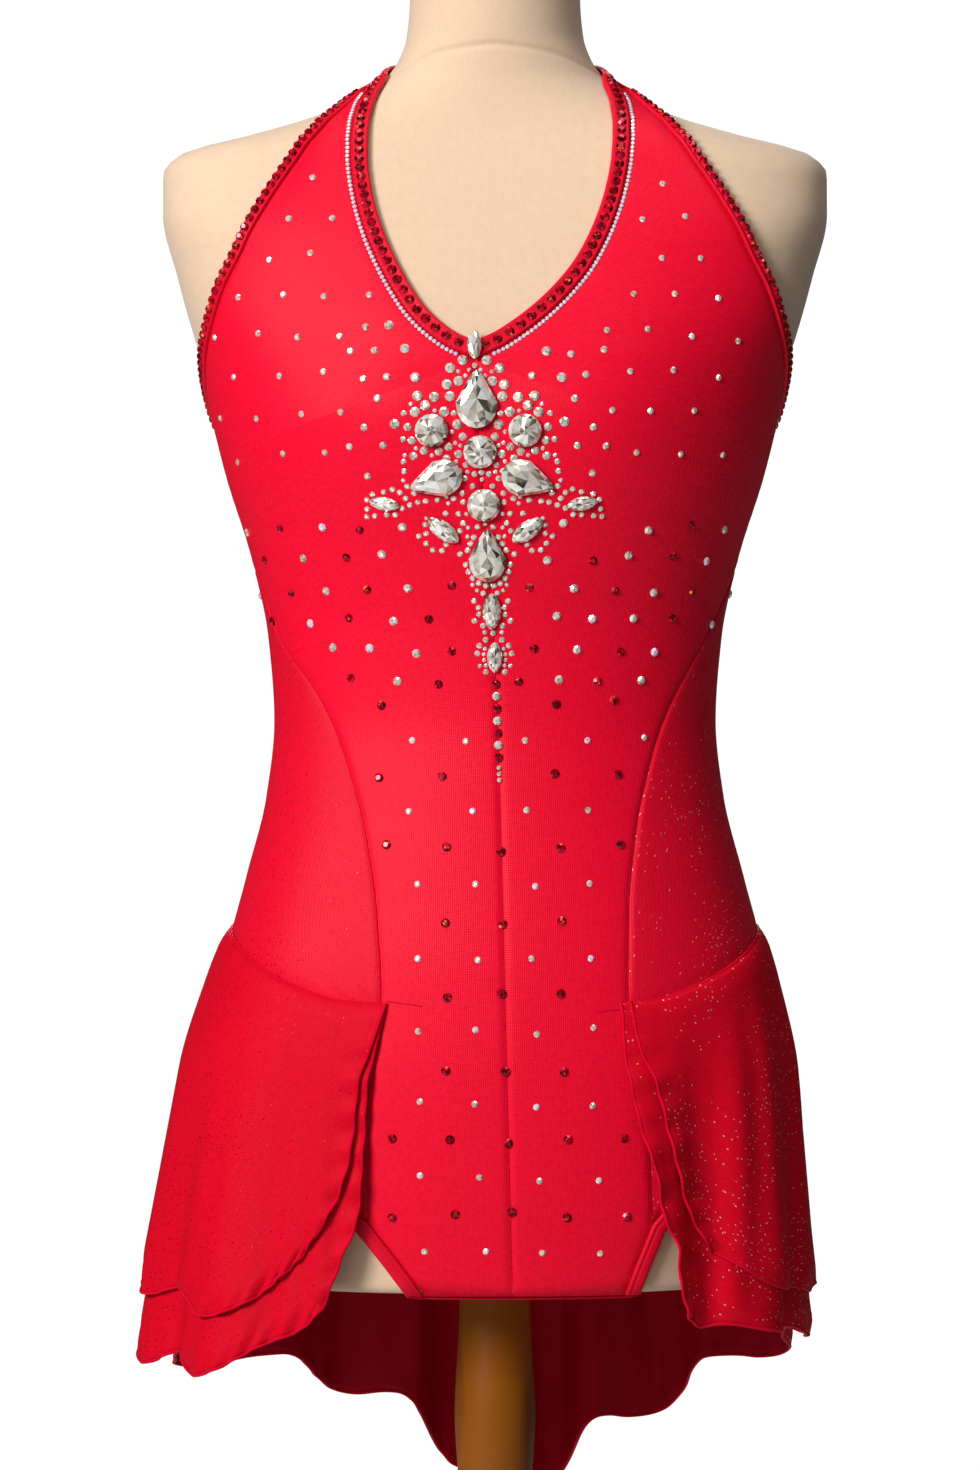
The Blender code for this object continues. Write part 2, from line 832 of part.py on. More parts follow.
def build_side(side, word):
    """One side panel, between the front and back princess seams."""
    seams = bodice_seams(side)
    front = inset(seams["princess_front"], side * -SEAM_GAP / 2)
    back = inset(seams["princess_back"], side * SEAM_GAP / 2)
    bottom = seams["leg_side"]
    bottom[0], bottom[-1] = front[0], back[0]
    front[-1] = slide(*front[-1], Vector((0, -1, -SIDE_PANEL_SLOPE)), SIDE_PANEL_TOP / 2)
    back[-1] = slide(*back[-1], Vector((0, 1, -SIDE_PANEL_SLOPE)), SIDE_PANEL_TOP / 2)
    rows = patch(front, back, LEG_SIDE_STEPS, bottom=bottom)
    add_bodice_piece(f"side_{word}", rows, BODICE_WALL, "red_glitter")


def build_back():
    """The back panel, from side seam to side seam."""
    seams = bodice_seams(1)
    outer = chained(seams["leg_back"][::-1], seams["princess_back"], seams["side"])
    outer[1:] = inset(outer, -SEAM_GAP / 2)[1:]
    scoop = seams["scoop"][::-1]
    scoop[0] = Mark(180, scoop[0].height)
    inner_steps = len(outer) - len(scoop) + 1
    inner = chained(straight(Mark(180, BODICE_HEM), scoop[0], inner_steps), scoop[:-1])
    rows = patch(inner, outer, BACK_COLUMNS)
    piece = add_object("back", shell_mesh("back", rows, BODICE_WALL, half=True), "red_stretch")
    mirror = piece.modifiers.new("other_half", "MIRROR")
    mirror.merge_threshold = MERGE
    mirror.use_clip = True


def build_bindings():
    """The bindings of the neckline, the armholes and back, and the legs, and the neckband."""
    add_binding("binding_neckline", neckline_at, NECKLINE_BINDING_WIDTH)
    for side, word in ((-1, "left"), (1, "right")):
        arm, leg = partial(armhole_at, side), partial(leg_opening_at, side)
        add_binding(f"binding_armhole_{word}", arm, ARMHOLE_BINDING_WIDTH)
        add_binding(f"binding_leg_{word}", leg, LEG_BINDING_WIDTH)
    upper = resampled(NECKBAND_UPPER, NECKBAND_STEPS)
    lower = resampled(NECKBAND_LOWER, NECKBAND_STEPS)
    half = [straight(low, high, 2) for low, high in zip(lower, upper)]
    other = [[Mark(360 - m.turn, m.height) for m in row] for row in half[-2::-1]]
    add_bodice_piece("neckband", half + other, BINDING_WALL, "red_binding")


def build_gusset():
    """The gusset: a flat strip under the torso from the front's hem to the back's."""
    shape = columns(GUSSET)
    rows = []
    for depth in np.linspace(0, 1, GUSSET_ROWS + 1):
        centre, half = shape["centre"](depth), shape["half_width"](depth)
        row = []
        for across in np.linspace(centre - half, centre + half, GUSSET_COLUMNS + 1):
            front = front_reach(across) + GUSSET_OVERHANG
            back = back_reach(across) - GUSSET_OVERHANG
            row.append(Vector((across, -front + depth * (front + back), -GUSSET_DROP)))
        rows.append(row)
    mesh = sheet_mesh("gusset", rows)
    piece = add_object("gusset", mesh, "red_stretch")
    if mesh.polygons[0].normal.z > 0:
        mesh.flip_normals()
    thickness = piece.modifiers.new("wall", "SOLIDIFY")
    thickness.thickness = GUSSET_WALL * MM
    thickness.offset = 1.0


def front_reach(across):
    """How far the torso's lower edge reaches forward at a distance from its middle."""
    return -torso_point(turn_at(0, across), 0).y


def back_reach(across):
    """How far the torso's lower edge reaches back at a distance from its middle."""
    low, high = 90.0, 270.0
    for _ in range(HALVINGS):
        middle = (low + high) / 2
        if torso_point(middle, 0).x > across:
            low = middle
        else:
            high = middle
    return torso_point(low, 0).y


SEAM_HEIGHT = columns(SKIRT_SEAM)["height"]
FLARE_RATE = columns(SKIRT_FLARE)["rate"]


def skirt_seam(girth):
    """The height of the skirt's seam, the same on both sides."""
    return SEAM_HEIGHT(min(girth, 360 - girth))


def fold_depth(girth, drop):
    """How far the folds push the skirt out, at a girth and a distance below the seam."""
    growth = (max(drop, 0) / FOLD_FULL_DROP) ** FOLD_GROWTH
    waves = sum(
        f.depth * math.exp(-(((girth - f.girth) / f.half_width) ** 2)) for f in SKIRT_FOLDS
    )
    return growth * waves


def skirt_point(layer, girth, height):
    """A point of a skirt layer, which hangs from the hip and flares below it."""
    turn = -girth
    drop = skirt_seam(girth) - height
    held = max(height, HIP_HEIGHT)
    outward = torso_normal(turn, held)
    outward.z = 0
    out = layer.lift + (layer.spread + FLARE_RATE(girth)) * max(drop, 0)
    point = torso_point(turn, held) + outward.normalized() * (out + fold_depth(girth, drop))
    point.z = height
    return point


def build_skirt(layer):
    """One layer of the skirt, open at the front."""
    left = resampled_chart(layer.left_edge, SKIRT_ROWS)
    right = resampled_chart(layer.right_edge, SKIRT_ROWS)
    hem = [layer.left_edge[-1]] + layer.hem + [layer.right_edge[-1]]
    hem = resampled_chart(hem, SKIRT_COLUMNS)
    hem[1:-1] = [swayed(m) for m in hem[1:-1]]
    ends = layer.left_edge[0].turn, layer.right_edge[0].turn
    seam = [Mark(g, skirt_seam(g) - SEAM_DROP) for g in np.linspace(*ends, SKIRT_COLUMNS + 1)]
    marks = patch(left[::-1], right[::-1], SKIRT_COLUMNS, bottom=hem, top=seam)
    rows = [[skirt_point(layer, m.turn, m.height) for m in row] for row in marks]
    add_cloth(layer.name, rows, SKIRT_WALL, "red_glitter")


def swayed(mark):
    """A place on the hem, which dips where a fold comes forward and lifts where one goes back."""
    depth = fold_depth(mark.turn, skirt_seam(mark.turn) - mark.height)
    return Mark(mark.turn, mark.height - HEM_SWAY * depth)


def resampled_chart(line, count):
    """A girth and height line as count + 1 marks at about equal distances."""
    run = [0.0]
    for a, b in zip(line, line[1:]):
        run.append(run[-1] + math.hypot((b.turn - a.turn) * GIRTH_REACH, b.height - a.height))
    turn, height = through(run, [m.turn for m in line]), through(run, [m.height for m in line])
    return [Mark(turn(run[-1] * i / count), height(run[-1] * i / count)) for i in range(count + 1)]


def loft(name, rings, finish_name):
    """A closed solid through rings of the same number of points, with flat ends."""
    shape = bmesh.new()
    loops = [[shape.verts.new(p * MM) for p in ring] for ring in rings]
    count = len(rings[0])
    for low, high in zip(loops, loops[1:]):
        for i in range(count):
            k = (i + 1) % count
            shape.faces.new((low[i], low[k], high[k], high[i]))
    shape.faces.new(loops[0][::-1])
    shape.faces.new(loops[-1])
    bmesh.ops.triangulate(shape, faces=shape.faces, quad_method="SHORT_EDGE")
    bmesh.ops.recalc_face_normals(shape, faces=shape.faces)
    mesh = bpy.data.meshes.new(name)
    shape.to_mesh(mesh)
    shape.free()
    mesh.shade_smooth()
    mesh.set_sharp_from_angle(angle=SHARP_ANGLE)
    return add_object(name, mesh, finish_name)


def build_torso():
    """The dress form's torso, from its underside to the cut of its neck."""
    top = TORSO_RINGS[-1]
    rings = []
    for height in TORSO_RINGS:
        inward = EDGE_ROUNDING if height in (0, top) else 0.0
        turns = [360 * i / TORSO_SEGMENTS for i in range(TORSO_SEGMENTS)]
        ring = [lifted(t, height, -TORSO_INSET) for t in turns]
        rings.append([Vector((p.x, p.y, 0)) * (1 - inward / p.xy.length) + Vector((0, 0, p.z))
                      for p in ring])
    loft("dress_form", rings, "cream_jersey")


def outline(kind, length, width):
    """A stone's outline, its point or one end up."""
    points = []
    for i in range(STONE_POINTS):
        angle = 2 * math.pi * i / STONE_POINTS
        across, along = math.sin(angle), math.cos(angle)
        if kind == "navette":
            across *= abs(across) ** NAVETTE_POINT
        if kind == "drop":
            across *= 1 - DROP_TAPER * max(along, 0) ** DROP_ROUND
            along -= DROP_SHIFT * (1 - along * along)
        points.append((across * width / 2, along * length / 2))
    return points


def build_stone(stone, side, name):
    """One large stone, flat at the back, set on the front of the bodice."""
    depth = min(stone.width * STONE_DEPTH + STONE_LEAST_DEPTH, STONE_MOST_DEPTH)
    height = NECKLINE_POINT - stone.down
    turn = turn_at(height, CENTRE(height) + side * stone.across)
    out = torso_normal(turn, height)
    wall = BINDING_WALL if stone.down < ON_BINDING else BODICE_WALL
    rise = CLOTH_GAP + wall + STONE_GAP
    centre = torso_point(turn, height) + out * rise
    right = out.cross(Vector((0, 0, 1))).normalized()
    up = right.cross(out)
    tilt = math.radians(stone.tilt) * side
    rings = []
    across, along = (
        right * math.cos(tilt) + up * math.sin(tilt), up * math.cos(tilt) - right * math.sin(tilt)
    )
    flat = outline(stone.outline, stone.length, stone.width)
    for level, size in ((0, STONE_BACK), (STONE_GIRDLE, 1), (1, STONE_TABLE)):
        middle = centre + out * (depth * level)
        rings.append([middle + (across * x + along * y) * size for x, y in flat])
    loft(name, rings, "crystal")


def build_stones():
    """The pendant's large stones, those off the centre in pairs."""
    for stone in STONES:
        if stone.across:
            build_stone(stone, -1, stone.name + "_left")
            build_stone(stone, 1, stone.name + "_right")
        else:
            build_stone(stone, 1, stone.name)


def turned(name, profile, lift, steps, finish_name):
    """A turned solid: a profile from the top down, spun about the upright axis."""
    rows = [Profile(0, profile[0].height)] + list(profile) + [Profile(0, profile[-1].height)]
    shape = bmesh.new()
    points = [shape.verts.new(Vector((r.radius, 0, r.height)) * MM) for r in rows]
    for a, b in zip(points, points[1:]):
        shape.edges.new((a, b))
    mesh = bpy.data.meshes.new(name)
    shape.to_mesh(mesh)
    shape.free()
    piece = add_object(name, mesh, finish_name)
    piece.location.z = lift * MM
    spin = piece.modifiers.new("spin", "SCREW")
    spin.steps = spin.render_steps = steps
    spin.use_merge_vertices = True
    spin.merge_threshold = MERGE


def main():
    """Builds the dress form, its stand and the garment on it."""
    build_torso()
    turned("stand_pole", POLE, TORSO_UNDERSIDE, POLE_STEPS, "turned_wood")
    turned("stand_base", BASE, 0.0, BASE_STEPS, "turned_wood")
    for side, word in ((-1, "left"), (1, "right")):
        build_front(side, word)
        build_side(side, word)
    build_back()
    build_bindings()
    build_gusset()
    build_skirt(UNDER_LAYER)
    build_skirt(UPPER_LAYER)
    build_stones()


for old in list(bpy.data.objects):
    bpy.data.objects.remove(old)
MODEL = bpy.data.collections.new("skirted_leotard_on_dress_form")
bpy.context.scene.collection.children.link(MODEL)
main()
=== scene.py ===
"""Looks of the skirted leotard on its dress form.

Lengths in the tables are millimetres. Cloth is placed on a chart of the torso: a turn in
degrees about the upright axis (0 at centre front, 90 at the +X side, 180 at centre back)
and a height above the torso's underside. Torso.point() turns the two into a place.
"""

from __future__ import annotations

import logging
import math
from dataclasses import dataclass, field
from enum import Enum
from typing import Callable, NamedTuple, Sequence

import bmesh
import bpy
import numpy as np
from bpy.types import Material, Mesh, Node, NodeOutputs, NodeTree, Object
from bpy.types import NodeSocket as Socket
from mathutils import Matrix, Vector

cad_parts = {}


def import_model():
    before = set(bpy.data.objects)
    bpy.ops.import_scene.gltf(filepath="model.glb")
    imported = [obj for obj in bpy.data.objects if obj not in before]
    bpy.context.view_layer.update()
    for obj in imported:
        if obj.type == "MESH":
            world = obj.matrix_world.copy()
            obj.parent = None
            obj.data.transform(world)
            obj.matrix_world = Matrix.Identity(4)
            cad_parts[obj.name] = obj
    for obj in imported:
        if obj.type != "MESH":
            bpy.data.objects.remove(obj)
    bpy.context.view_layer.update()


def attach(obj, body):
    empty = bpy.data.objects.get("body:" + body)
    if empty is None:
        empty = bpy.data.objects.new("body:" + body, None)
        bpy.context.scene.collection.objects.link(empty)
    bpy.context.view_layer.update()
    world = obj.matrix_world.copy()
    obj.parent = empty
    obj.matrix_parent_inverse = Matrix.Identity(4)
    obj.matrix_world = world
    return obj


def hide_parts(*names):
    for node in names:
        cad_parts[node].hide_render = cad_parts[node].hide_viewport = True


MM = 0.001
LOG = logging.getLogger("leotard")
Array = np.ndarray
Color = tuple[float, float, float]
SIDES = ((-1, "left"), (1, "right"))


def rows_of(kind: type, *rows: tuple) -> list:
    """A table's rows as the named tuples that name its columns."""
    return [kind(*row) for row in rows]


class Section(NamedTuple):
    """The torso's outline at a height."""

    height: float
    half_width: float
    front: float
    back: float
    squareness: float


TORSO_SECTIONS = rows_of(
    Section,
    (0, 131.0, 80, 88, 2.2),
    (50, 138.5, 86, 99, 2.2),
    (105, 140.0, 88, 104, 2.2),
    (150, 134.5, 86, 99, 2.2),
    (200, 122.0, 80, 87, 2.2),
    (240, 112.0, 75, 77, 2.15),
    (278, 108.0, 72, 71, 2.1),
    (320, 111.0, 75, 70, 2.1),
    (360, 119.5, 83, 73, 2.15),
    (400, 132.0, 90, 79, 2.25),
    (430, 139.5, 92, 84, 2.35),
    (448, 143.5, 91, 87, 2.4),
    (468, 150.5, 87, 90, 2.5),
    (500, 159.5, 77, 92, 2.7),
    (530, 166.5, 65, 90, 3.0),
    (550, 166.5, 56, 85, 3.0),
    (560, 157.0, 51.5, 80, 2.9),
    (568, 128.0, 48, 75, 2.7),
    (578, 94.0, 45, 69, 2.4),
    (588, 71.0, 43, 62, 2.2),
    (598, 56.0, 42, 55, 2.1),
    (609, 48.5, 42, 50, 2.05),
    (620, 45.0, 42.5, 47, 2.0),
    (640, 43.5, 43, 45, 2.0),
    (662, 43.5, 43, 44.5, 2.0),
)


class Place(NamedTuple):
    """A distance from the centre front at a height."""

    height: float
    across: float


CENTRE_FRONT = rows_of(
    Place,
    (-5, 8.6), (120, 5.3), (200, 3.4), (305, 0.0), (380, -5.3), (460, -10.0), (500, -4.8),
    (560, -2.4), (610, 0.0),
)
NECKLINE_POINT = 460.4
NECKLINE = rows_of(
    Place,
    (463.8, 8.0), (469.0, 16.0), (477.5, 25.9), (488.0, 34.8), (500.0, 42.7), (513.0, 49.1),
    (526.0, 53.9), (539.0, 57.2), (549.0, 58.9), (560.0, 59.6), (570.0, 59.4), (578.0, 58.2),
    (586.0, 56.3), (592.0, 53.8),
)
PRINCESS_FRONT = rows_of(
    Place,
    (30.0, 74.0), (80.0, 67.0), (141.5, 59.5), (186.0, 60.7), (227.0, 65.9), (259.0, 73.9),
    (293.0, 87.8), (324.0, 106.0),
)
NECK_SEAM = [Place(611, 0.0), Place(608, 25.0), Place(602, 45.0), Place(597, 60.0)]


class Mark(NamedTuple):
    """A place on the chart."""

    turn: float
    height: float


NECKLINE_END = Mark(72, 597.5)
ARMHOLE_FRONT = rows_of(
    Mark,
    (80, 588.5), (76, 585), (71.8, 580), (68.6, 574.2), (64.8, 563), (63.8, 552), (64, 532),
    (65.4, 512), (68.6, 493), (72.9, 474), (80, 457), (90, 440),
)
ARMHOLE_BACK = rows_of(
    Mark,
    (90, 440), (98, 424), (106, 404), (115, 378), (127, 345), (142, 316), (158, 298), (170, 292.3),
    (179.8, 291),
)
PRINCESS_TOP = [Mark(83.5, 345), Mark(90, 357)]
PRINCESS_BACK = rows_of(
    Mark,
    (143, 44), (146, 90), (149, 150), (147, 200), (141, 245), (131, 285), (116, 322), (100, 346),
)
LEG_SIDE = rows_of(
    Mark,
    (60, 56), (75, 76), (90, 84), (108, 80), (128, 62), (145, 34),
)
HEM = -0.4
LEG_BACK = Mark(159, HEM)
NECKBAND_UPPER = rows_of(
    Mark,
    (72.8, 597.8), (86, 602.5), (100, 606), (125, 610), (155, 613), (180, 614),
)
NECKBAND_LOWER = rows_of(
    Mark,
    (80.8, 588.8), (100, 591), (125, 592), (155, 594), (180, 595),
)


class GussetRow(NamedTuple):
    """The gusset's width at a share of the way from front to back."""

    depth: float
    centre: float
    half_width: float


GUSSET = rows_of(
    GussetRow,
    (0.0, 13.4, 56.5), (0.15, 27.0, 42.0), (0.32, 48.0, 25.0), (0.5, 52.0, 24.0),
    (0.68, 47.0, 25.0), (0.86, 20.0, 29.0), (1.0, 0.0, 31.0),
)


class Girth(NamedTuple):
    """A place on the skirt: degrees from centre front round the -X side, and a height."""

    girth: float
    height: float


class Flare(NamedTuple):
    """How fast the skirt leaves the hip at a girth."""

    girth: float
    rate: float


class Fold(NamedTuple):
    """A fold of the skirt, outwards where its depth is positive."""

    girth: float
    depth: float
    half_width: float


SKIRT_SEAM = rows_of(
    Girth,
    (30, 141.5), (45, 143.5), (57, 150.5), (70, 162.0), (80, 171.0), (92, 176.5), (112, 172.0),
    (140, 157.0), (162, 146.0), (180, 142.0),
)
SKIRT_FLARE = rows_of(
    Flare,
    (30, 0.02), (50, 0.05), (72, 0.12), (90, 0.145), (125, 0.15), (180, 0.14), (235, 0.10),
    (270, 0.045), (295, 0.04), (330, 0.02),
)
SKIRT_FOLDS = rows_of(
    Fold,
    (50, 2.0, 6), (66, 5.0, 6), (76, -5.0, 5), (88, 2.0, 7), (102, -5.0, 7), (116, 7.0, 8),
    (131, -7.0, 7), (145, 9.0, 7), (158, -8.0, 6), (170, 10.0, 6), (181, -8.0, 6), (193, 10.0, 6),
    (205, -8.0, 6), (218, 8.0, 7), (231, -7.0, 7), (244, 6.0, 7), (257, -4.5, 6), (271, 2.0, 6),
    (281, -4.0, 5), (292, 3.0, 5), (301, -3.0, 5), (310, 2.0, 5),
)
SKIRT_CREASES = rows_of(
    Fold,
    (47, 1.6, 2.6), (60, 1.2, 4.0), (97, 2.4, 4.0), (124, 3.0, 4.0), (152, 3.0, 3.5),
    (176, 3.0, 3.5), (199, 3.0, 3.5), (224, 3.0, 4.0), (250, 2.6, 4.0), (277, 2.6, 3.5),
    (289, 2.4, 3.0), (297, 2.8, 3.6), (306, -3.2, 5.0), (319, 7.5, 7.5),
)


class Ripple(NamedTuple):
    """A fine wave round the skirt: its depth, its turns by girth and height, and its start."""

    depth: float
    rate: float
    slant: float
    start: float


RIPPLES = rows_of(Ripple, (0.8, 0.61, 0.0, 1.1), (0.5, 0.97, 0.02, 0.0))


@dataclass(frozen=True)
class SkirtCut:
    """One layer of the skirt, with its edges from the seam down and its hem."""

    node: str
    lift: float
    seam_lift: float
    seam_ridge: float
    spread: float
    left_edge: Sequence[Girth]
    hem: Sequence[Girth]
    right_edge: Sequence[Girth]


UNDER_LAYER = SkirtCut(
    "skirt_under",
    lift=2.85,
    seam_lift=1.55,
    seam_ridge=0.0,
    spread=0.012,
    left_edge=rows_of(
        Girth,
        (32.5, 140.2), (34.5, 122), (36.6, 101), (37.4, 76), (38.0, 52), (39.0, 36), (43.0, 14),
        (46.5, -6),
    ),
    hem=rows_of(
        Girth,
        (51, -15), (58, -23), (66, -34), (72, -40), (77, -35), (83, -39), (90, -34), (97, -35),
        (106, -44), (120, -52), (138, -62), (155, -80), (168, -104), (180, -118), (192, -116),
        (204, -98), (216, -80), (230, -60), (246, -42), (262, -30), (272, -27), (284, -22),
        (296, -16), (304, -17),
    ),
    right_edge=rows_of(
        Girth,
        (322.8, 140.2), (322.8, 120), (321.8, 102), (319.6, 80), (316.6, 58), (314.6, 38),
        (311.4, 22), (311.0, 8), (308.0, -10),
    ),
)
UPPER_LAYER = SkirtCut(
    "skirt_upper",
    lift=4.3,
    seam_lift=2.1,
    seam_ridge=0.9,
    spread=0.030,
    left_edge=rows_of(
        Girth,
        (32.5, 141.0), (35.5, 122), (38.4, 104), (39.4, 85), (40.4, 66), (43.0, 48), (48.5, 26),
    ),
    hem=rows_of(
        Girth,
        (54.5, 10), (61, -3), (68, -8), (75, -2), (82, -5), (90, -1), (97, -2), (106, -8),
        (124, -18), (142, -32), (160, -50), (180, -62), (200, -54), (218, -36), (238, -18),
        (256, -6), (270, -2), (276, -5), (284, -2), (292, 5), (299, 14),
    ),
    right_edge=rows_of(
        Girth,
        (320.6, 141.0), (319.6, 122), (316.4, 104), (314.0, 84), (312.0, 65), (309.6, 46),
        (306.0, 30), (302.5, 20),
    ),
)


class Cut(Enum):
    """The outlines of the large stones."""

    NAVETTE = "navette"
    DROP = "drop"
    DISC = "disc"


class Stone(NamedTuple):
    """A large stone, placed down from the neckline's point and to the side of the centre."""

    node: str
    cut: Cut
    length: float
    width: float
    down: float
    across: float
    tilt: float
    halo: float


LARGE_STONES = rows_of(
    Stone,
    ("stone_top", Cut.NAVETTE, 15, 7, 3, 0, 0, 0),
    ("stone_drop_upper", Cut.DROP, 28, 20, 28.5, 0, 0, 0),
    ("stone_disc_wing", Cut.DISC, 16, 16, 43, 22.5, 0, 0),
    ("stone_disc_upper", Cut.DISC, 16, 16, 53, 0, 0, 0),
    ("stone_drop_wing", Cut.DROP, 26, 18, 66, 22, 108, 0),
    ("stone_disc_lower", Cut.DISC, 16, 16, 78, 0, 0, 0),
    ("stone_leaf_outer", Cut.NAVETTE, 15, 7, 77, 47, 80, 0),
    ("stone_leaf_inner", Cut.NAVETTE, 18, 9, 90, 20, 52, 0),
    ("stone_drop_lower", Cut.DROP, 26, 18, 102, 0, 0, 3.0),
    ("stone_leaf_upper", Cut.NAVETTE, 18, 9, 129, 0, 0, 2.8),
    ("stone_leaf_lower", Cut.NAVETTE, 15, 7.5, 151.5, 0, 0, 2.0),
)


class Turned(NamedTuple):
    """A radius of a turned piece at a height."""

    radius: float
    height: float


POLE = rows_of(
    Turned,
    (15.5, -0.3), (17.5, -3), (17.8, -20), (20.2, -68), (18.2, -104), (16.5, -160), (15.5, -300),
    (17.0, -480), (20.0, -600), (26.0, -640), (26.0, -653.7),
)
BASE = rows_of(
    Turned,
    (30.0, 26), (38.0, 25), (174.0, 15), (182.0, 13), (186.5, 9.5), (188.0, 6), (187.2, 2),
    (185.0, 0),
)


class Curve:
    """A smooth line through points, which doesn't overshoot between them."""

    def __init__(self, xs: Sequence[float], ys: Sequence[float]) -> None:
        """Works out the line's slopes, from rising places and the value at each."""
        self.xs, self.ys = np.asarray(xs, float), np.asarray(ys, float)
        self.step = np.diff(self.xs)
        rise = np.diff(self.ys) / self.step
        self.slope = np.concatenate([rise[:1], np.zeros(len(rise) - 1), rise[-1:]])
        for i in range(1, len(rise)):
            if rise[i - 1] * rise[i] > 0:
                before = 2 * self.step[i] + self.step[i - 1]
                after = self.step[i] + 2 * self.step[i - 1]
                self.slope[i] = (before + after) / (before / rise[i - 1] + after / rise[i])

    def __call__(self, x: Array | float) -> Array:
        """The line's value at each of some places."""
        x = np.clip(np.asarray(x, float), self.xs[0], self.xs[-1])
        i = np.clip(np.searchsorted(self.xs, x, side="right") - 1, 0, len(self.step) - 1)
        t = (x - self.xs[i]) / self.step[i]
        ends = self.ys[i] * (1 + 2 * t) * (1 - t) ** 2 + self.ys[i + 1] * t * t * (3 - 2 * t)
        start, end = self.slope[i] * t * (1 - t) ** 2, self.slope[i + 1] * t * t * (1 - t)
        return ends + self.step[i] * (start - end)


def curve_of(rows: Sequence[NamedTuple], name: str) -> Curve:
    """A table's column as a smooth line over its first column."""
    return Curve([row[0] for row in rows], [getattr(row, name) for row in rows])


def unit(vectors: Array) -> Array:
    """The vectors at length one."""
    return vectors / np.linalg.norm(vectors, axis=-1, keepdims=True)


def bell(distance: Array | float, width: float) -> Array:
    """A soft bump that is 1 at no distance and fades over a width."""
    return np.exp(-((np.asarray(distance) / width) ** 2))


def eased(x: Array | float) -> Array:
    """A soft step from 0 to 1."""
    x = np.clip(x, 0.0, 1.0)
    return x * x * (3 - 2 * x)


def run_length(points: Array, axis: int) -> Array:
    """The distance along a grid's rows or columns, from its first place."""
    step = np.linalg.norm(np.diff(points, axis=axis), axis=-1)
    start = np.zeros_like(np.take(step, [0], axis=axis))
    return np.concatenate([start, np.cumsum(step, axis=axis)], axis=axis)


def read_at(line: Array, run: Array, at: Array) -> Array:
    """The places of a two-column line at distances along it."""
    return np.stack([np.interp(at, run, line[:, axis]) for axis in (0, 1)], axis=-1)


def spaced(line: Array, run: Array, count: int) -> Array:
    """A two-column line, smoothed, as count + 1 places at equal distances along it."""
    at = np.linspace(0, run[-1], count + 1)
    return np.stack([Curve(run, line[:, axis])(at) for axis in (0, 1)], axis=-1)


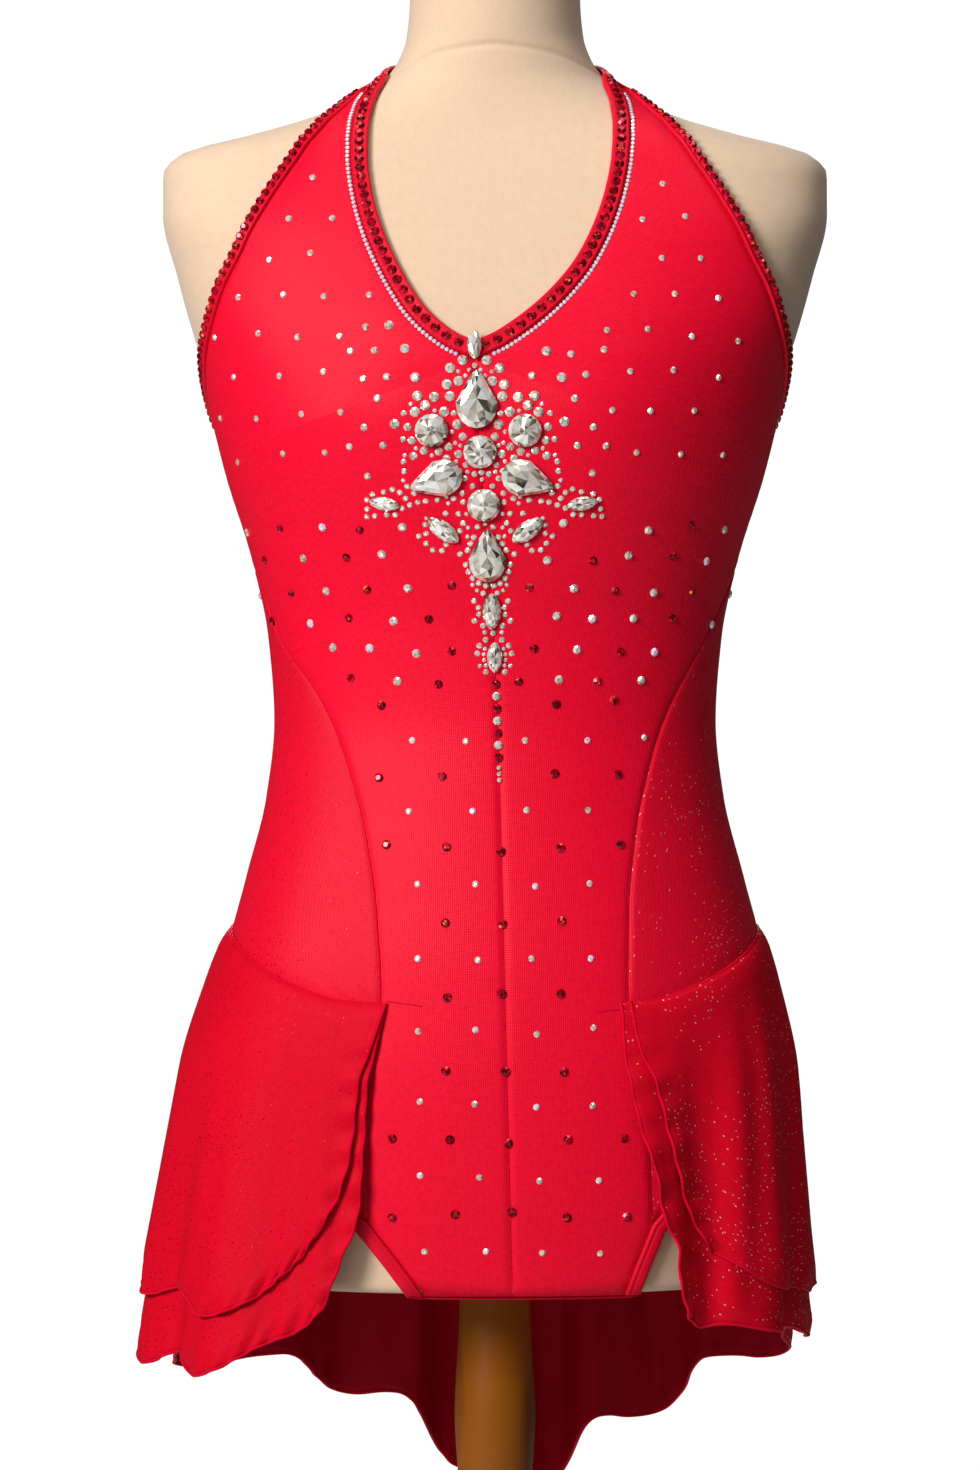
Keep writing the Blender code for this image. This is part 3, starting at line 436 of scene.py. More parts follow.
@dataclass
class Torso:
    """The dress form's surface, and the ways of going about on it."""

    underside: float = 680.0
    bust_across: float = 62.0
    bust_height: float = 425.0
    bust_spread: float = 34.0
    bust_rise: float = 7.0
    stride: float = 1.5
    mitre_limit: float = 0.8
    turn_step: float = 0.05
    height_step: float = 0.4
    turn_probe: float = 0.1
    height_probe: float = 0.2
    shape: dict[str, Curve] = field(default_factory=dict)

    def __post_init__(self) -> None:
        """Reads the torso's tables."""
        for name in Section._fields[1:]:
            self.shape[name] = curve_of(TORSO_SECTIONS, name)
        self.centre = curve_of(CENTRE_FRONT, "across")

    def point(self, turn: Array | float, height: Array | float) -> Array:
        """Places on the torso.

        Args:
            turn: degrees about the upright axis.
            height: millimetres above the underside.

        Returns:
            Points in millimetres, in the last axis.
        """
        turn, height = np.broadcast_arrays(np.asarray(turn, float), np.asarray(height, float))
        sine, cosine = np.sin(np.radians(turn)), np.cos(np.radians(turn))
        depth = np.where(cosine > 0, self.shape["front"](height), self.shape["back"](height))
        power = self.shape["squareness"](height)
        side = np.abs(sine / self.shape["half_width"](height)) ** power
        reach = (side + np.abs(cosine / depth) ** power) ** (-1 / power)
        x, y = reach * sine, -reach * cosine
        for across in (-self.bust_across, self.bust_across):
            away = np.hypot(x - across, height - self.bust_height)
            swell = self.bust_rise * bell(away, math.sqrt(2) * self.bust_spread)
            y = y - swell * np.sqrt(np.maximum(cosine, 0))
        return np.stack([x, y, height], axis=-1)

    def normal(self, turn: Array | float, height: Array | float) -> Array:
        """The outward directions of the torso's surface."""
        turn, height = np.asarray(turn, float), np.asarray(height, float)
        aside, above = self.turn_step, self.height_step
        across = self.point(turn + aside, height) - self.point(turn - aside, height)
        up = self.point(turn, height + above) - self.point(turn, height - above)
        return unit(np.cross(across, up))

    def lifted(self, marks: Array, lift: Array | float) -> Array:
        """Points that stand clear of the torso.

        Args:
            marks: chart places, turn and height in the last axis.
            lift: millimetres above the surface, one or one for each mark.

        Returns:
            Points in millimetres.
        """
        turn, height = marks[..., 0], marks[..., 1]
        lift = np.broadcast_to(lift, turn.shape)[..., None]
        return self.point(turn, height) + self.normal(turn, height) * lift

    def turn_at(self, height: Array | float, across: Array | float) -> Array:
        """The turns at which the front is at distances from the upright axis."""
        height, across = np.broadcast_arrays(np.asarray(height, float), np.asarray(across, float))
        low, high = np.full(height.shape, -90.0), np.full(height.shape, 90.0)
        for _ in range(40):
            middle = (low + high) / 2
            short = self.point(middle, height)[..., 0] < across
            low, high = np.where(short, middle, low), np.where(short, high, middle)
        return (low + high) / 2

    def on_front(self, height: Array | float, from_centre: Array | float) -> Array:
        """Chart places at heights and distances from the centre front line."""
        height = np.asarray(height, float)
        turn = self.turn_at(height, self.centre(height) + from_centre)
        return np.stack(np.broadcast_arrays(turn, height), axis=-1)

    def slide(self, marks: Array, direction: Array, distance: Array | float) -> Array:
        """Chart places reached by going along the surface.

        Args:
            marks: the places that the walk starts from, one in each row.
            direction: the way to go from each, as points' differences.
            distance: how far, in millimetres.

        Returns:
            The new chart places.
        """
        turn, height = marks[:, 0].copy(), marks[:, 1].copy()
        distance = np.broadcast_to(np.asarray(distance, float), turn.shape)
        steps = max(1, math.ceil(float(distance.max()) / self.stride))
        for _ in range(steps):
            here = self.point(turn, height)
            per_turn = (self.point(turn + self.turn_probe, height) - here) / self.turn_probe
            per_height = (self.point(turn, height + self.height_probe) - here) / self.height_probe
            out = unit(np.cross(per_turn, per_height))
            along = direction - out * np.sum(direction * out, axis=1, keepdims=True)
            along = unit(along) * (distance / steps)[:, None]
            a, b = np.sum(per_turn * per_turn, axis=1), np.sum(per_turn * per_height, axis=1)
            c = np.sum(per_height * per_height, axis=1)
            p, q = np.sum(along * per_turn, axis=1), np.sum(along * per_height, axis=1)
            turn += (p * c - q * b) / (a * c - b * b)
            height += (q * a - p * b) / (a * c - b * b)
        return np.stack([turn, height], axis=-1)

    def inset(self, line: Array, distance: float) -> Array:
        """A chart line moved to its left, as seen from outside, or to its right if negative."""
        if distance == 0:
            return line.copy()
        points = self.point(line[:, 0], line[:, 1])
        before, after = np.vstack([points[:1], points[:-1]]), np.vstack([points[1:], points[-1:]])
        tangent = unit(after - before)
        side = np.cross(self.normal(line[:, 0], line[:, 1]), tangent) * np.sign(distance)
        mitre = np.ones(len(line))
        bend = np.sum(unit(points[1:-1] - before[1:-1]) * tangent[1:-1], axis=1)
        mitre[1:-1] = 1 / np.maximum(bend, self.mitre_limit)
        return self.slide(line, side, abs(distance) * mitre)

    def resampled(self, line: Sequence[Mark] | Array, count: int) -> Array:
        """A chart line as count + 1 places at equal distances along it."""
        line = np.array(line, float)
        points = self.point(line[:, 0], line[:, 1])
        return spaced(line, run_length(points, 0), count)


TORSO = Torso()


def chained(*lines: Array) -> Array:
    """Lines joined end to end, without repeating the places where they meet."""
    return np.vstack([lines[0]] + [line[1:] for line in lines[1:]])


def mirrored(line: Array) -> Array:
    """The same chart line on the other side of the body."""
    return line * (-1, 1)


def past_back(line: Array) -> Array:
    """A chart line of the right side, carried on past centre back to the left side."""
    return mirrored(line) + (360, 0)


def between(start: Array, end: Array, shares: Array) -> Array:
    """The chart places at shares of the way from one to another."""
    return start + shares[:, None] * (end - start)


def straight(start: Sequence[float], end: Sequence[float], count: int) -> Array:
    """A line of count equal steps between two chart places."""
    return np.linspace(np.array(start, float), np.array(end, float), count + 1)


def patch(left: Array, right: Array, across: Array, bottom: Array, top: Array) -> Array:
    """Chart places in rows between four edges.

    Args:
        left: the left edge, upwards.
        right: the right edge, upwards, with as many places.
        across: the shares of the way across, one for each column.
        bottom: the lower edge, with a place for each column.
        top: the upper edge, with a place for each column.

    Returns:
        An array of rows, columns and the two chart numbers.
    """
    up = np.linspace(0, 1, len(left))[:, None, None]
    u = np.asarray(across)[None, :, None]
    sides = (1 - u) * left[:, None] + u * right[:, None]
    ends = (1 - up) * bottom[None] + up * top[None]
    low, high = (1 - u) * left[0] + u * right[0], (1 - u) * left[-1] + u * right[-1]
    return sides + ends - (1 - up) * low - up * high


class Nodes:
    """A node tree that is being built."""

    def __init__(self, tree: NodeTree) -> None:
        """Takes the tree."""
        self.tree = tree

    def feed(self, node: Node, inputs: dict) -> None:
        """Gives a node's named or numbered inputs a value, or a link from another socket."""
        for name, value in inputs.items():
            if isinstance(value, Socket):
                self.tree.links.new(value, node.inputs[name])
            else:
                node.inputs[name].default_value = value

    def add(self, kind: str, inputs: dict | None = None, **settings: object) -> NodeOutputs:
        """Adds a node.

        Args:
            kind: the node's type.
            inputs: a value or another node's output for each named or numbered socket.
            settings: the node's own properties.

        Returns:
            The node's outputs.
        """
        node = self.tree.nodes.new(kind)
        for name, value in settings.items():
            setattr(node, name, value)
        self.feed(node, inputs or {})
        return node.outputs

    def math(self, kind: str, *values: object) -> Socket:
        """A Math node's output, from values or sockets."""
        return self.add("ShaderNodeMath", dict(enumerate(values)), operation=kind)[0]

    def noise(self, vector: Socket, scale: object, **inputs: float) -> Socket:
        """A noise's value."""
        return self.add("ShaderNodeTexNoise", {"Vector": vector, "Scale": scale, **inputs})["Fac"]

    def mix(self, factor: object, first: object, second: object, blend: str = "MIX") -> Socket:
        """A mix of two colours."""
        inputs = {0: factor, 6: first, 7: second}
        return self.add("ShaderNodeMix", inputs, data_type="RGBA", blend_type=blend)[2]

    def ramp(self, factor: Socket, stops: Sequence[tuple[float, Color]]) -> Socket:
        """A colour ramp's output, from what it reads and each stop's place and colour."""
        ramp = self.tree.nodes.new("ShaderNodeValToRGB")
        self.feed(ramp, {"Fac": factor})
        elements = ramp.color_ramp.elements
        while len(elements) < len(stops):
            elements.new(0.5)
        for element, (position, color) in zip(elements, stops):
            element.position, element.color = position, (*color, 1.0)
        return ramp.outputs["Color"]

    def bump(self, height: Socket, depth: float, strength: float) -> Socket:
        """A normal from a height, whose 1 is a depth in metres."""
        inputs = {"Height": height, "Distance": depth, "Strength": strength}
        return self.add("ShaderNodeBump", inputs)["Normal"]

    def place(self) -> Socket:
        """Where a point of the surface is."""
        return self.add("ShaderNodeTexCoord")["Object"]


def new_group(kind: str, name: str, inputs: dict[str, tuple], outputs: dict[str, str]) -> tuple:
    """A new node group with its sockets.

    Args:
        kind: "Shader" or "Geometry".
        name: the group's name.
        inputs: each input's kind of socket and its value.
        outputs: each output's kind of socket.

    Returns:
        Its nodes, the sockets that it is given and its output node.
    """
    tree = bpy.data.node_groups.new(name, kind + "NodeTree")
    for label, (socket, value) in inputs.items():
        made = tree.interface.new_socket(label, in_out="INPUT", socket_type="NodeSocket" + socket)
        if value is not None:
            made.default_value = value
    for label, socket in outputs.items():
        tree.interface.new_socket(label, in_out="OUTPUT", socket_type="NodeSocket" + socket)
    nodes = Nodes(tree)
    return nodes, nodes.add("NodeGroupInput"), tree.nodes.new("NodeGroupOutput")


def new_material(name: str) -> tuple[Material, Nodes, Node]:
    """A new material, its nodes and its Principled shader."""
    material = bpy.data.materials.new(name)
    material.use_nodes = True
    tree = material.node_tree
    return material, Nodes(tree), tree.nodes["Principled BSDF"]


class Effects:
    """Shader effects that more than one finish uses, each built once."""

    def __init__(self) -> None:
        """Builds the groups."""
        self.knit = self.build_knit()
        self.dots = self.build_dots()
        self.mottle = self.build_mottle()

    def build_knit(self) -> NodeTree:
        """Fine stitches of a stretch knit in rows and columns, and its uneven yarn."""
        nodes, given, result = new_group(
            "Shader", "knit_stitches",
            {"Cloth": ("Vector", None), "Gauge": ("Float", 1400.0)},
            {"Height": "Float", "Yarn": "Float"},
        )
        inputs = {0: given["Cloth"], "Scale": given["Gauge"]}
        scaled = nodes.add("ShaderNodeVectorMath", inputs, operation="SCALE")[0]
        parts = nodes.add("ShaderNodeSeparateXYZ", {0: scaled})
        columns = nodes.math("SINE", nodes.math("MULTIPLY", parts[0], math.tau))
        rows = nodes.math("SINE", nodes.math("MULTIPLY", parts[1], math.tau * 0.8))
        stitch = nodes.math("MULTIPLY_ADD", rows, 0.6, columns)
        yarn = nodes.noise(scaled, 0.35)
        nodes.feed(result, {"Height": nodes.math("MULTIPLY_ADD", yarn, 1.6, stitch), "Yarn": yarn})
        return nodes.tree

    def build_dots(self) -> NodeTree:
        """Foil dots scattered over the cloth, some of them missing, in drifting density."""
        nodes, given, result = new_group(
            "Shader", "foil_dots",
            {
                "Cloth": ("Vector", None),
                "Spacing": ("Float", 0.0030),
                "Size": ("Float", 0.075),
                "Share": ("Float", 0.55),
            },
            {"Mask": "Float", "Tone": "Float"},
        )
        cloth = given["Cloth"]
        scale = nodes.math("DIVIDE", 1.0, given["Spacing"])
        cells = nodes.add(
            "ShaderNodeTexVoronoi", {"Vector": cloth, "Scale": scale}, voronoi_dimensions="2D"
        )
        drift = nodes.add(
            "ShaderNodeTexNoise", {"Vector": cloth, "Scale": 22.0}, noise_dimensions="2D"
        )["Fac"]
        tone = nodes.add("ShaderNodeSeparateColor", {0: cells["Color"]})
        size = nodes.math("MULTIPLY_ADD", tone[1], 0.07, given["Size"])
        near = nodes.math("LESS_THAN", cells["Distance"], size)
        crowd = nodes.math("POWER", nodes.math("MULTIPLY", drift, 1.75), 3.0)
        kept = nodes.math("LESS_THAN", tone[0], nodes.math("MULTIPLY", crowd, given["Share"]))
        nodes.feed(result, {"Mask": nodes.math("MULTIPLY", near, kept), "Tone": tone[2]})
        return nodes.tree

    def build_mottle(self) -> NodeTree:
        """Slow changes of tone over a surface."""
        nodes, given, result = new_group(
            "Shader", "soft_mottle",
            {
                "Vector": ("Vector", None),
                "Scale": ("Float", 9.0),
                "Color": ("Color", (1, 1, 1, 1)),
                "Deep": ("Color", (0.5, 0.5, 0.5, 1)),
                "Amount": ("Float", 0.5),
            },
            {"Color": "Color"},
        )
        noise = nodes.noise(given["Vector"], given["Scale"], Detail=3.0)
        share = nodes.math("MULTIPLY", noise, given["Amount"])
        nodes.feed(result, {"Color": nodes.mix(share, given["Color"], given["Deep"])})
        return nodes.tree

    def cloth(self, nodes: Nodes, gauge: float) -> tuple[Socket, NodeOutputs]:
        """The place on the flat cloth, and the knit there."""
        flat = nodes.add("ShaderNodeUVMap", uv_map="cloth")["UV"]
        inputs = {"Cloth": flat, "Gauge": gauge}
        return flat, nodes.add("ShaderNodeGroup", inputs, node_tree=self.knit)

    def knit_color(self, nodes: Nodes, place: Socket, yarn: Socket, dye: Dye) -> Socket:
        """The colour of a knit, mottled by place and darker between its yarns."""
        inputs = {
            "Vector": place, "Scale": dye.patches, "Amount": dye.amount,
            "Color": (*dye.color, 1), "Deep": (*dye.deep, 1),
        }
        mottled = nodes.add("ShaderNodeGroup", inputs, node_tree=self.mottle)["Color"]
        shade = nodes.ramp(yarn, [(0.3, dye.shade), (0.7, (1, 1, 1))])
        return nodes.mix(1.0, mottled, shade, "MULTIPLY")


@dataclass(frozen=True)
class Dye:
    """The colours of a knit: its own, its deeper patches and the shade between yarns."""

    color: Color
    deep: Color
    patches: float = 9.0
    amount: float = 0.5
    shade: Color = (0.86, 0.84, 0.85)


@dataclass(frozen=True)
class StretchKnit:
    """Shiny stretch knit, with or without foil dots."""

    name: str
    dye: Dye
    roughness: float = 0.42
    gloss: float = 0.21
    sheen: float = 0.05
    gauge: float = 1100.0
    relief: float = 0.00006
    dots: bool = False
    # Colour of the cloth's inside face: partly the knit's duller wrong side, partly painted shade for
    # the skirt's shaded inside.
    reverse: Color = (0.36, 0.001, 0.012)
    foil_metal: float = 0.4
    foil_roughness: float = 0.25
    # The foil dots' ramp and its lean towards +X are painted reflection: the dots glint pale on the
    # right side and stay dark red on the left.
    foil_lean: float = 3.4
    foil: tuple = ((0.0, (0.30, 0.0, 0.01)), (0.72, (0.50, 0.02, 0.04)), (1.0, (1.0, 0.52, 0.48)))

    def build(self, effects: Effects) -> Material:
        """Makes the material."""
        material, nodes, shader = new_material(self.name)
        place = nodes.place()
        cloth, knit = effects.cloth(nodes, self.gauge)
        color = effects.knit_color(nodes, place, knit["Yarn"], self.dye)
        look = {"Roughness": self.roughness}
        if self.dots:
            foil = nodes.add("ShaderNodeGroup", {"Cloth": cloth}, node_tree=effects.dots)
            outside = nodes.add("ShaderNodeAttribute", attribute_name="outside")["Fac"]
            # The inside face takes the darker inside colour: partly the duller wrong side of the knit,
            # partly painted shade.
            color = nodes.mix(outside, (*self.reverse, 1), color)
            # Foil dots: a random tone, raised towards +X, picks their colour on the ramp; a painted
            # reflection, pale dots on the right side and dark ones on the left.
            across = nodes.add("ShaderNodeSeparateXYZ", {0: place})["X"]
            tone = nodes.math("MULTIPLY_ADD", across, self.foil_lean, foil["Tone"])
            mask = nodes.math("MULTIPLY", foil["Mask"], outside)
            color = nodes.mix(mask, color, nodes.ramp(tone, self.foil))
            change = self.foil_roughness - self.roughness
            look = {
                "Metallic": nodes.math("MULTIPLY", mask, self.foil_metal),
                "Roughness": nodes.math("MULTIPLY_ADD", mask, change, self.roughness),
            }
        nodes.feed(shader, look | {
            "Base Color": color, "Specular IOR Level": self.gloss,
            "Specular Tint": (1.0, 0.5, 0.48, 1.0), "Sheen Weight": self.sheen,
            "Sheen Roughness": 0.3, "Sheen Tint": (1.0, 0.03, 0.09, 1.0),
            "Normal": nodes.bump(knit["Height"], self.relief, 0.55),
        })
        return material


@dataclass(frozen=True)
class Jersey:
    """The dress form's cotton cover."""

    name: str = "cream_jersey_cover"
    dye: Dye = Dye((0.70, 0.51, 0.35), (0.63, 0.43, 0.285), 5.0, 0.45, (0.95, 0.94, 0.93))
    gauge: float = 620.0
    relief: float = 0.00005

    def build(self, effects: Effects) -> Material:
        """Makes the material."""
        material, nodes, shader = new_material(self.name)
        knit = effects.cloth(nodes, self.gauge)[1]
        nodes.feed(shader, {
            "Base Color": effects.knit_color(nodes, nodes.place(), knit["Yarn"], self.dye),
            "Roughness": 0.82, "Sheen Weight": 0.3, "Sheen Roughness": 0.5,
            "Normal": nodes.bump(knit["Height"], self.relief, 0.2),
        })
        return material


@dataclass(frozen=True)
class Wood:
    """Varnished turned wood, its figure drawn out along the pole."""

    name: str = "turned_wood_varnish"
    pale: Color = (0.24, 0.068, 0.002)
    dark: Color = (0.11, 0.027, 0.001)
    drawn: tuple[float, float, float] = (34, 34, 2.4)

    def build(self, effects: Effects) -> Material:
        """Makes the material."""
        material, nodes, shader = new_material(self.name)
        inputs = {"Vector": nodes.place(), "Scale": self.drawn}
        place = nodes.add("ShaderNodeMapping", inputs)[0]
        grain = nodes.noise(place, 2.2, Detail=6.0, Distortion=0.7)
        rings = nodes.add(
            "ShaderNodeTexWave", {"Vector": place, "Scale": 0.9, "Distortion": 5.0, "Detail": 3.0},
            wave_type="RINGS", rings_direction="Z",
        )["Fac"]
        figure = nodes.math("MULTIPLY_ADD", rings, 0.45, grain)
        stops = [(0.35, self.dark), (0.62, self.pale), (1.0, self.pale)]
        nodes.feed(shader, {
            "Base Color": nodes.ramp(figure, stops), "Roughness": 0.38,
            "Specular IOR Level": 0.2, "Coat Weight": 0.06, "Coat Roughness": 0.15,
            "Normal": nodes.bump(grain, 0.0002, 0.25),
        })
        return material


@dataclass(frozen=True)
class Crystal:
    """Cut stones with a foiled back, whose facets differ in tone: each facet's tone, from dark to a
    bright glint, is a painted reflection.
    """

    name: str
    tones: tuple[tuple[float, Color], ...]
    roughness: float = 0.07
    metallic: float = 0.5
    coat: float = 0.8
    shards: float = 300.0
    facet_share: float = 0.8
    glint: Color = (1.0, 1.0, 1.0)

    def build(self, effects: Effects) -> Material:
        """Makes the material."""
        material, nodes, shader = new_material(self.name)
        facet = nodes.add("ShaderNodeAttribute", attribute_name="facet")["Fac"]
        inputs = {"Vector": nodes.place(), "Scale": self.shards}
        cells = nodes.add("ShaderNodeTexVoronoi", inputs)["Color"]
        shard = nodes.add("ShaderNodeSeparateColor", {0: cells})[0]
        facet = nodes.math("MULTIPLY", facet, self.facet_share)
        tone = nodes.math("MULTIPLY_ADD", shard, 1 - self.facet_share, facet)
        # The ramp turns each facet's random tone into a painted reflection.
        nodes.feed(shader, {
            "Base Color": nodes.ramp(tone, self.tones), "Roughness": self.roughness,
            "Metallic": self.metallic, "Specular Tint": (*self.glint, 1),
            "Coat Weight": self.coat, "Coat Roughness": 0.03,
        })
        return material


@dataclass(frozen=True)
class Thread:
    """Sewing thread."""

    name: str
    color: Color

    def build(self, effects: Effects) -> Material:
        """Makes the material."""
        material, nodes, shader = new_material(self.name)
        twist = nodes.noise(nodes.place(), 2600.0)
        stops = [(0.3, tuple(c * 0.7 for c in self.color)), (0.7, self.color)]
        nodes.feed(shader, {
            "Base Color": nodes.ramp(twist, stops), "Roughness": 0.5,
            "Specular IOR Level": 0.12, "Specular Tint": (*self.color, 1),
            "Normal": nodes.bump(twist, 0.0001, 0.5),
        })
        return material


class Finish(Enum):
    """Every finish of the object."""

    SATIN = StretchKnit("red_satin_knit", Dye((0.86, 0.003, 0.030), (0.74, 0.001, 0.020)))
    GLITTER = StretchKnit(
        "red_glitter_knit", Dye((0.80, 0.003, 0.027), (0.64, 0.001, 0.017)), dots=True
    )
    # The skirt's knit is the glitter knit with less gloss and a darker base colour; the darker colour
    # is painted shade over the whole skirt.
    SKIRT = StretchKnit(
        "red_skirt_knit", Dye((0.70, 0.003, 0.019), (0.50, 0.001, 0.011)),
        gloss=0.06, sheen=0.01, dots=True,
    )
    BINDING = StretchKnit(
        "red_binding_knit", Dye((0.74, 0.003, 0.026), (0.58, 0.002, 0.016)), roughness=0.4
    )
    JERSEY = Jersey()
    WOOD = Wood()
    # The crystal ramps are painted reflections, from dark facets to bright glints. The rainbow tints
    # are partly the real coating; the deep red stones' top orange stop is a painted glint.
    CLEAR = Crystal(
        "clear_crystal",
        (
            (0.06, (0.06, 0.05, 0.04)), (0.22, (0.27, 0.23, 0.19)), (0.42, (0.60, 0.53, 0.43)),
            (0.62, (0.90, 0.84, 0.73)), (0.80, (1.0, 0.99, 0.95)),
        ),
    )
    IRIS = Crystal(
        "rainbow_crystal",
        (
            (0.1, (0.55, 0.40, 0.72)), (0.3, (0.92, 0.62, 0.80)), (0.5, (1.0, 0.92, 0.88)),
            (0.65, (0.62, 0.78, 0.95)), (0.85, (1.0, 0.95, 0.98)),
        ),
        metallic=0.3,
    )
    SIAM = Crystal(
        "deep_red_crystal",
        (
            (0.10, (0.05, 0.0, 0.002)), (0.35, (0.17, 0.0, 0.007)), (0.60, (0.42, 0.002, 0.018)),
            (0.90, (0.85, 0.006, 0.04)), (0.97, (1.0, 0.35, 0.08)),
        ),
        roughness=0.12, metallic=0.35, coat=0.3, glint=(1.0, 0.3, 0.3),
    )
    RED_THREAD = Thread("red_thread", (0.72, 0.003, 0.028))


class Trees:
    """The Geometry Nodes trees for what repeats or follows a path, each built once."""

    def __init__(self) -> None:
        """Builds the trees."""
        self.stitches = self.build_stitches()
        self.roll = self.build_roll()
        self.stones = self.build_stones()

    def start(self, name: str, inputs: dict[str, tuple]) -> tuple:
        """A new tree, which is given a shape and a finish besides its named inputs."""
        inputs = {"Geometry": ("Geometry", None), **inputs, "Finish": ("Material", None)}
        return new_group("Geometry", name, inputs, {"Geometry": "Geometry"})

    def end(self, nodes: Nodes, shape: Socket, finish: Socket, result: Node) -> NodeTree:
        """Sets the finish on a shape, hands it out and gives back the tree."""
        dressed = nodes.add("GeometryNodeSetMaterial", {0: shape, "Material": finish})
        nodes.feed(result, {0: dressed[0]})
        return nodes.tree

    def realized(self, nodes: Nodes, shape: Socket) -> Socket:
        """A shape with its instances made real."""
        return nodes.add("GeometryNodeRealizeInstances", {0: shape})[0]

    def build_stitches(self) -> NodeTree:
        """Single stitches along a path, each a small rounded grain."""
        nodes, given, result = self.start(
            "stitches_on_path",
            {
                "Pitch": ("Float", 0.0026),
                "Length": ("Float", 0.0019),
                "Thickness": ("Float", 0.0005),
            },
        )
        path = nodes.add("GeometryNodeMeshToCurve", {0: given["Geometry"]})[0]
        inputs = {"Curve": path, "Length": given["Pitch"]}
        points = nodes.add("GeometryNodeCurveToPoints", inputs, mode="LENGTH")
        inputs = {"Segments": 6, "Rings": 4, "Radius": 0.5}
        grain = nodes.add("GeometryNodeMeshUVSphere", inputs)
        inputs = {0: given["Thickness"], 1: given["Thickness"], 2: given["Length"]}
        size = nodes.add("ShaderNodeCombineXYZ", inputs)[0]
        placed = nodes.add("GeometryNodeInstanceOnPoints", {
            "Points": points["Points"], "Instance": grain["Mesh"],
            "Rotation": points["Rotation"], "Scale": size,
        })[0]
        smooth = nodes.add("GeometryNodeSetShadeSmooth", {0: self.realized(nodes, placed)})[0]
        return self.end(nodes, smooth, given["Finish"], result)

    def build_roll(self) -> NodeTree:
        """A rolled edge: a round cord of cloth along a path."""
        nodes, given, result = self.start(
            "rolled_edge",
            {"Step": ("Float", 0.002), "Radius": ("Float", 0.0008), "Sides": ("Int", 8)},
        )
        path = nodes.add("GeometryNodeMeshToCurve", {0: given["Geometry"]})[0]
        inputs = {"Curve": path, "Length": given["Step"]}
        even = nodes.add("GeometryNodeResampleCurve", inputs, mode="LENGTH")[0]
        inputs = {"Resolution": given["Sides"], "Radius": given["Radius"]}
        ring = nodes.add("GeometryNodeCurvePrimitiveCircle", inputs)[0]
        inputs = {"Curve": even, "Profile Curve": ring, "Fill Caps": True}
        tube = nodes.add("GeometryNodeCurveToMesh", inputs)[0]
        smooth = nodes.add("GeometryNodeSetShadeSmooth", {0: self.realized(nodes, tube)})[0]
        return self.end(nodes, smooth, given["Finish"], result)

    def build_stones(self) -> NodeTree:
        """A cut stone on every point, as large as its point says and facing as it says."""
        nodes, given, result = self.start(
            "small_stones",
            {
                "Facets": ("Int", 8),
                "Table": ("Float", 0.52),
                "Crown": ("Float", 0.42),
                "Girdle": ("Float", 0.16),
                "Dullest": ("Float", 0.0),
                "Seed": ("Int", 7),
            },
        )
        inputs = {
            "Vertices": given["Facets"], "Radius Top": 1.0, "Radius Bottom": 0.96,
            "Depth": given["Girdle"],
        }
        girdle = nodes.add("GeometryNodeMeshCone", inputs)["Mesh"]
        inputs |= {
            "Radius Top": given["Table"], "Radius Bottom": 1.0, "Depth": given["Crown"],
        }
        crown = nodes.add("GeometryNodeMeshCone", inputs, fill_type="TRIANGLE_FAN")["Mesh"]
        rise = nodes.add("ShaderNodeCombineXYZ", {"Z": given["Girdle"]})[0]
        crown = nodes.add("GeometryNodeTransform", {0: crown, "Translation": rise})[0]
        stone = nodes.tree.nodes.new("GeometryNodeJoinGeometry")
        nodes.feed(stone, {0: girdle})
        nodes.feed(stone, {0: crown})
        out, size = (
            nodes.add("GeometryNodeInputNamedAttribute", {0: name}, data_type=kind)["Attribute"]
            for name, kind in (("out", "FLOAT_VECTOR"), ("size", "FLOAT"))
        )
        facing = nodes.add("FunctionNodeAlignRotationToVector", {"Vector": out}, axis="Z")[0]
        placed = nodes.add("GeometryNodeInstanceOnPoints", {
            "Points": given["Geometry"], "Instance": stone.outputs[0],
            "Rotation": facing, "Scale": size,
        })[0]
        inputs = {0: (0, 0, 0), 1: (0, 0, math.tau), "Seed": given["Seed"]}
        spin = nodes.add("FunctionNodeRandomValue", inputs, data_type="FLOAT_VECTOR")[0]
        turned = nodes.add("GeometryNodeRotateInstances", {"Instances": placed, "Rotation": spin})[0]
        # Each face gets a random tone, which the crystal finish turns into a painted reflection;
        # Dullest is the lowest tone.
        inputs = {2: given["Dullest"], "Seed": given["Seed"]}
        tone = nodes.add("FunctionNodeRandomValue", inputs, data_type="FLOAT")[1]
        toned = nodes.add(
            "GeometryNodeStoreNamedAttribute",
            {"Geometry": self.realized(nodes, turned), "Name": "facet", "Value": tone},
            data_type="FLOAT", domain="FACE",
        )[0]
        return self.end(nodes, toned, given["Finish"], result)


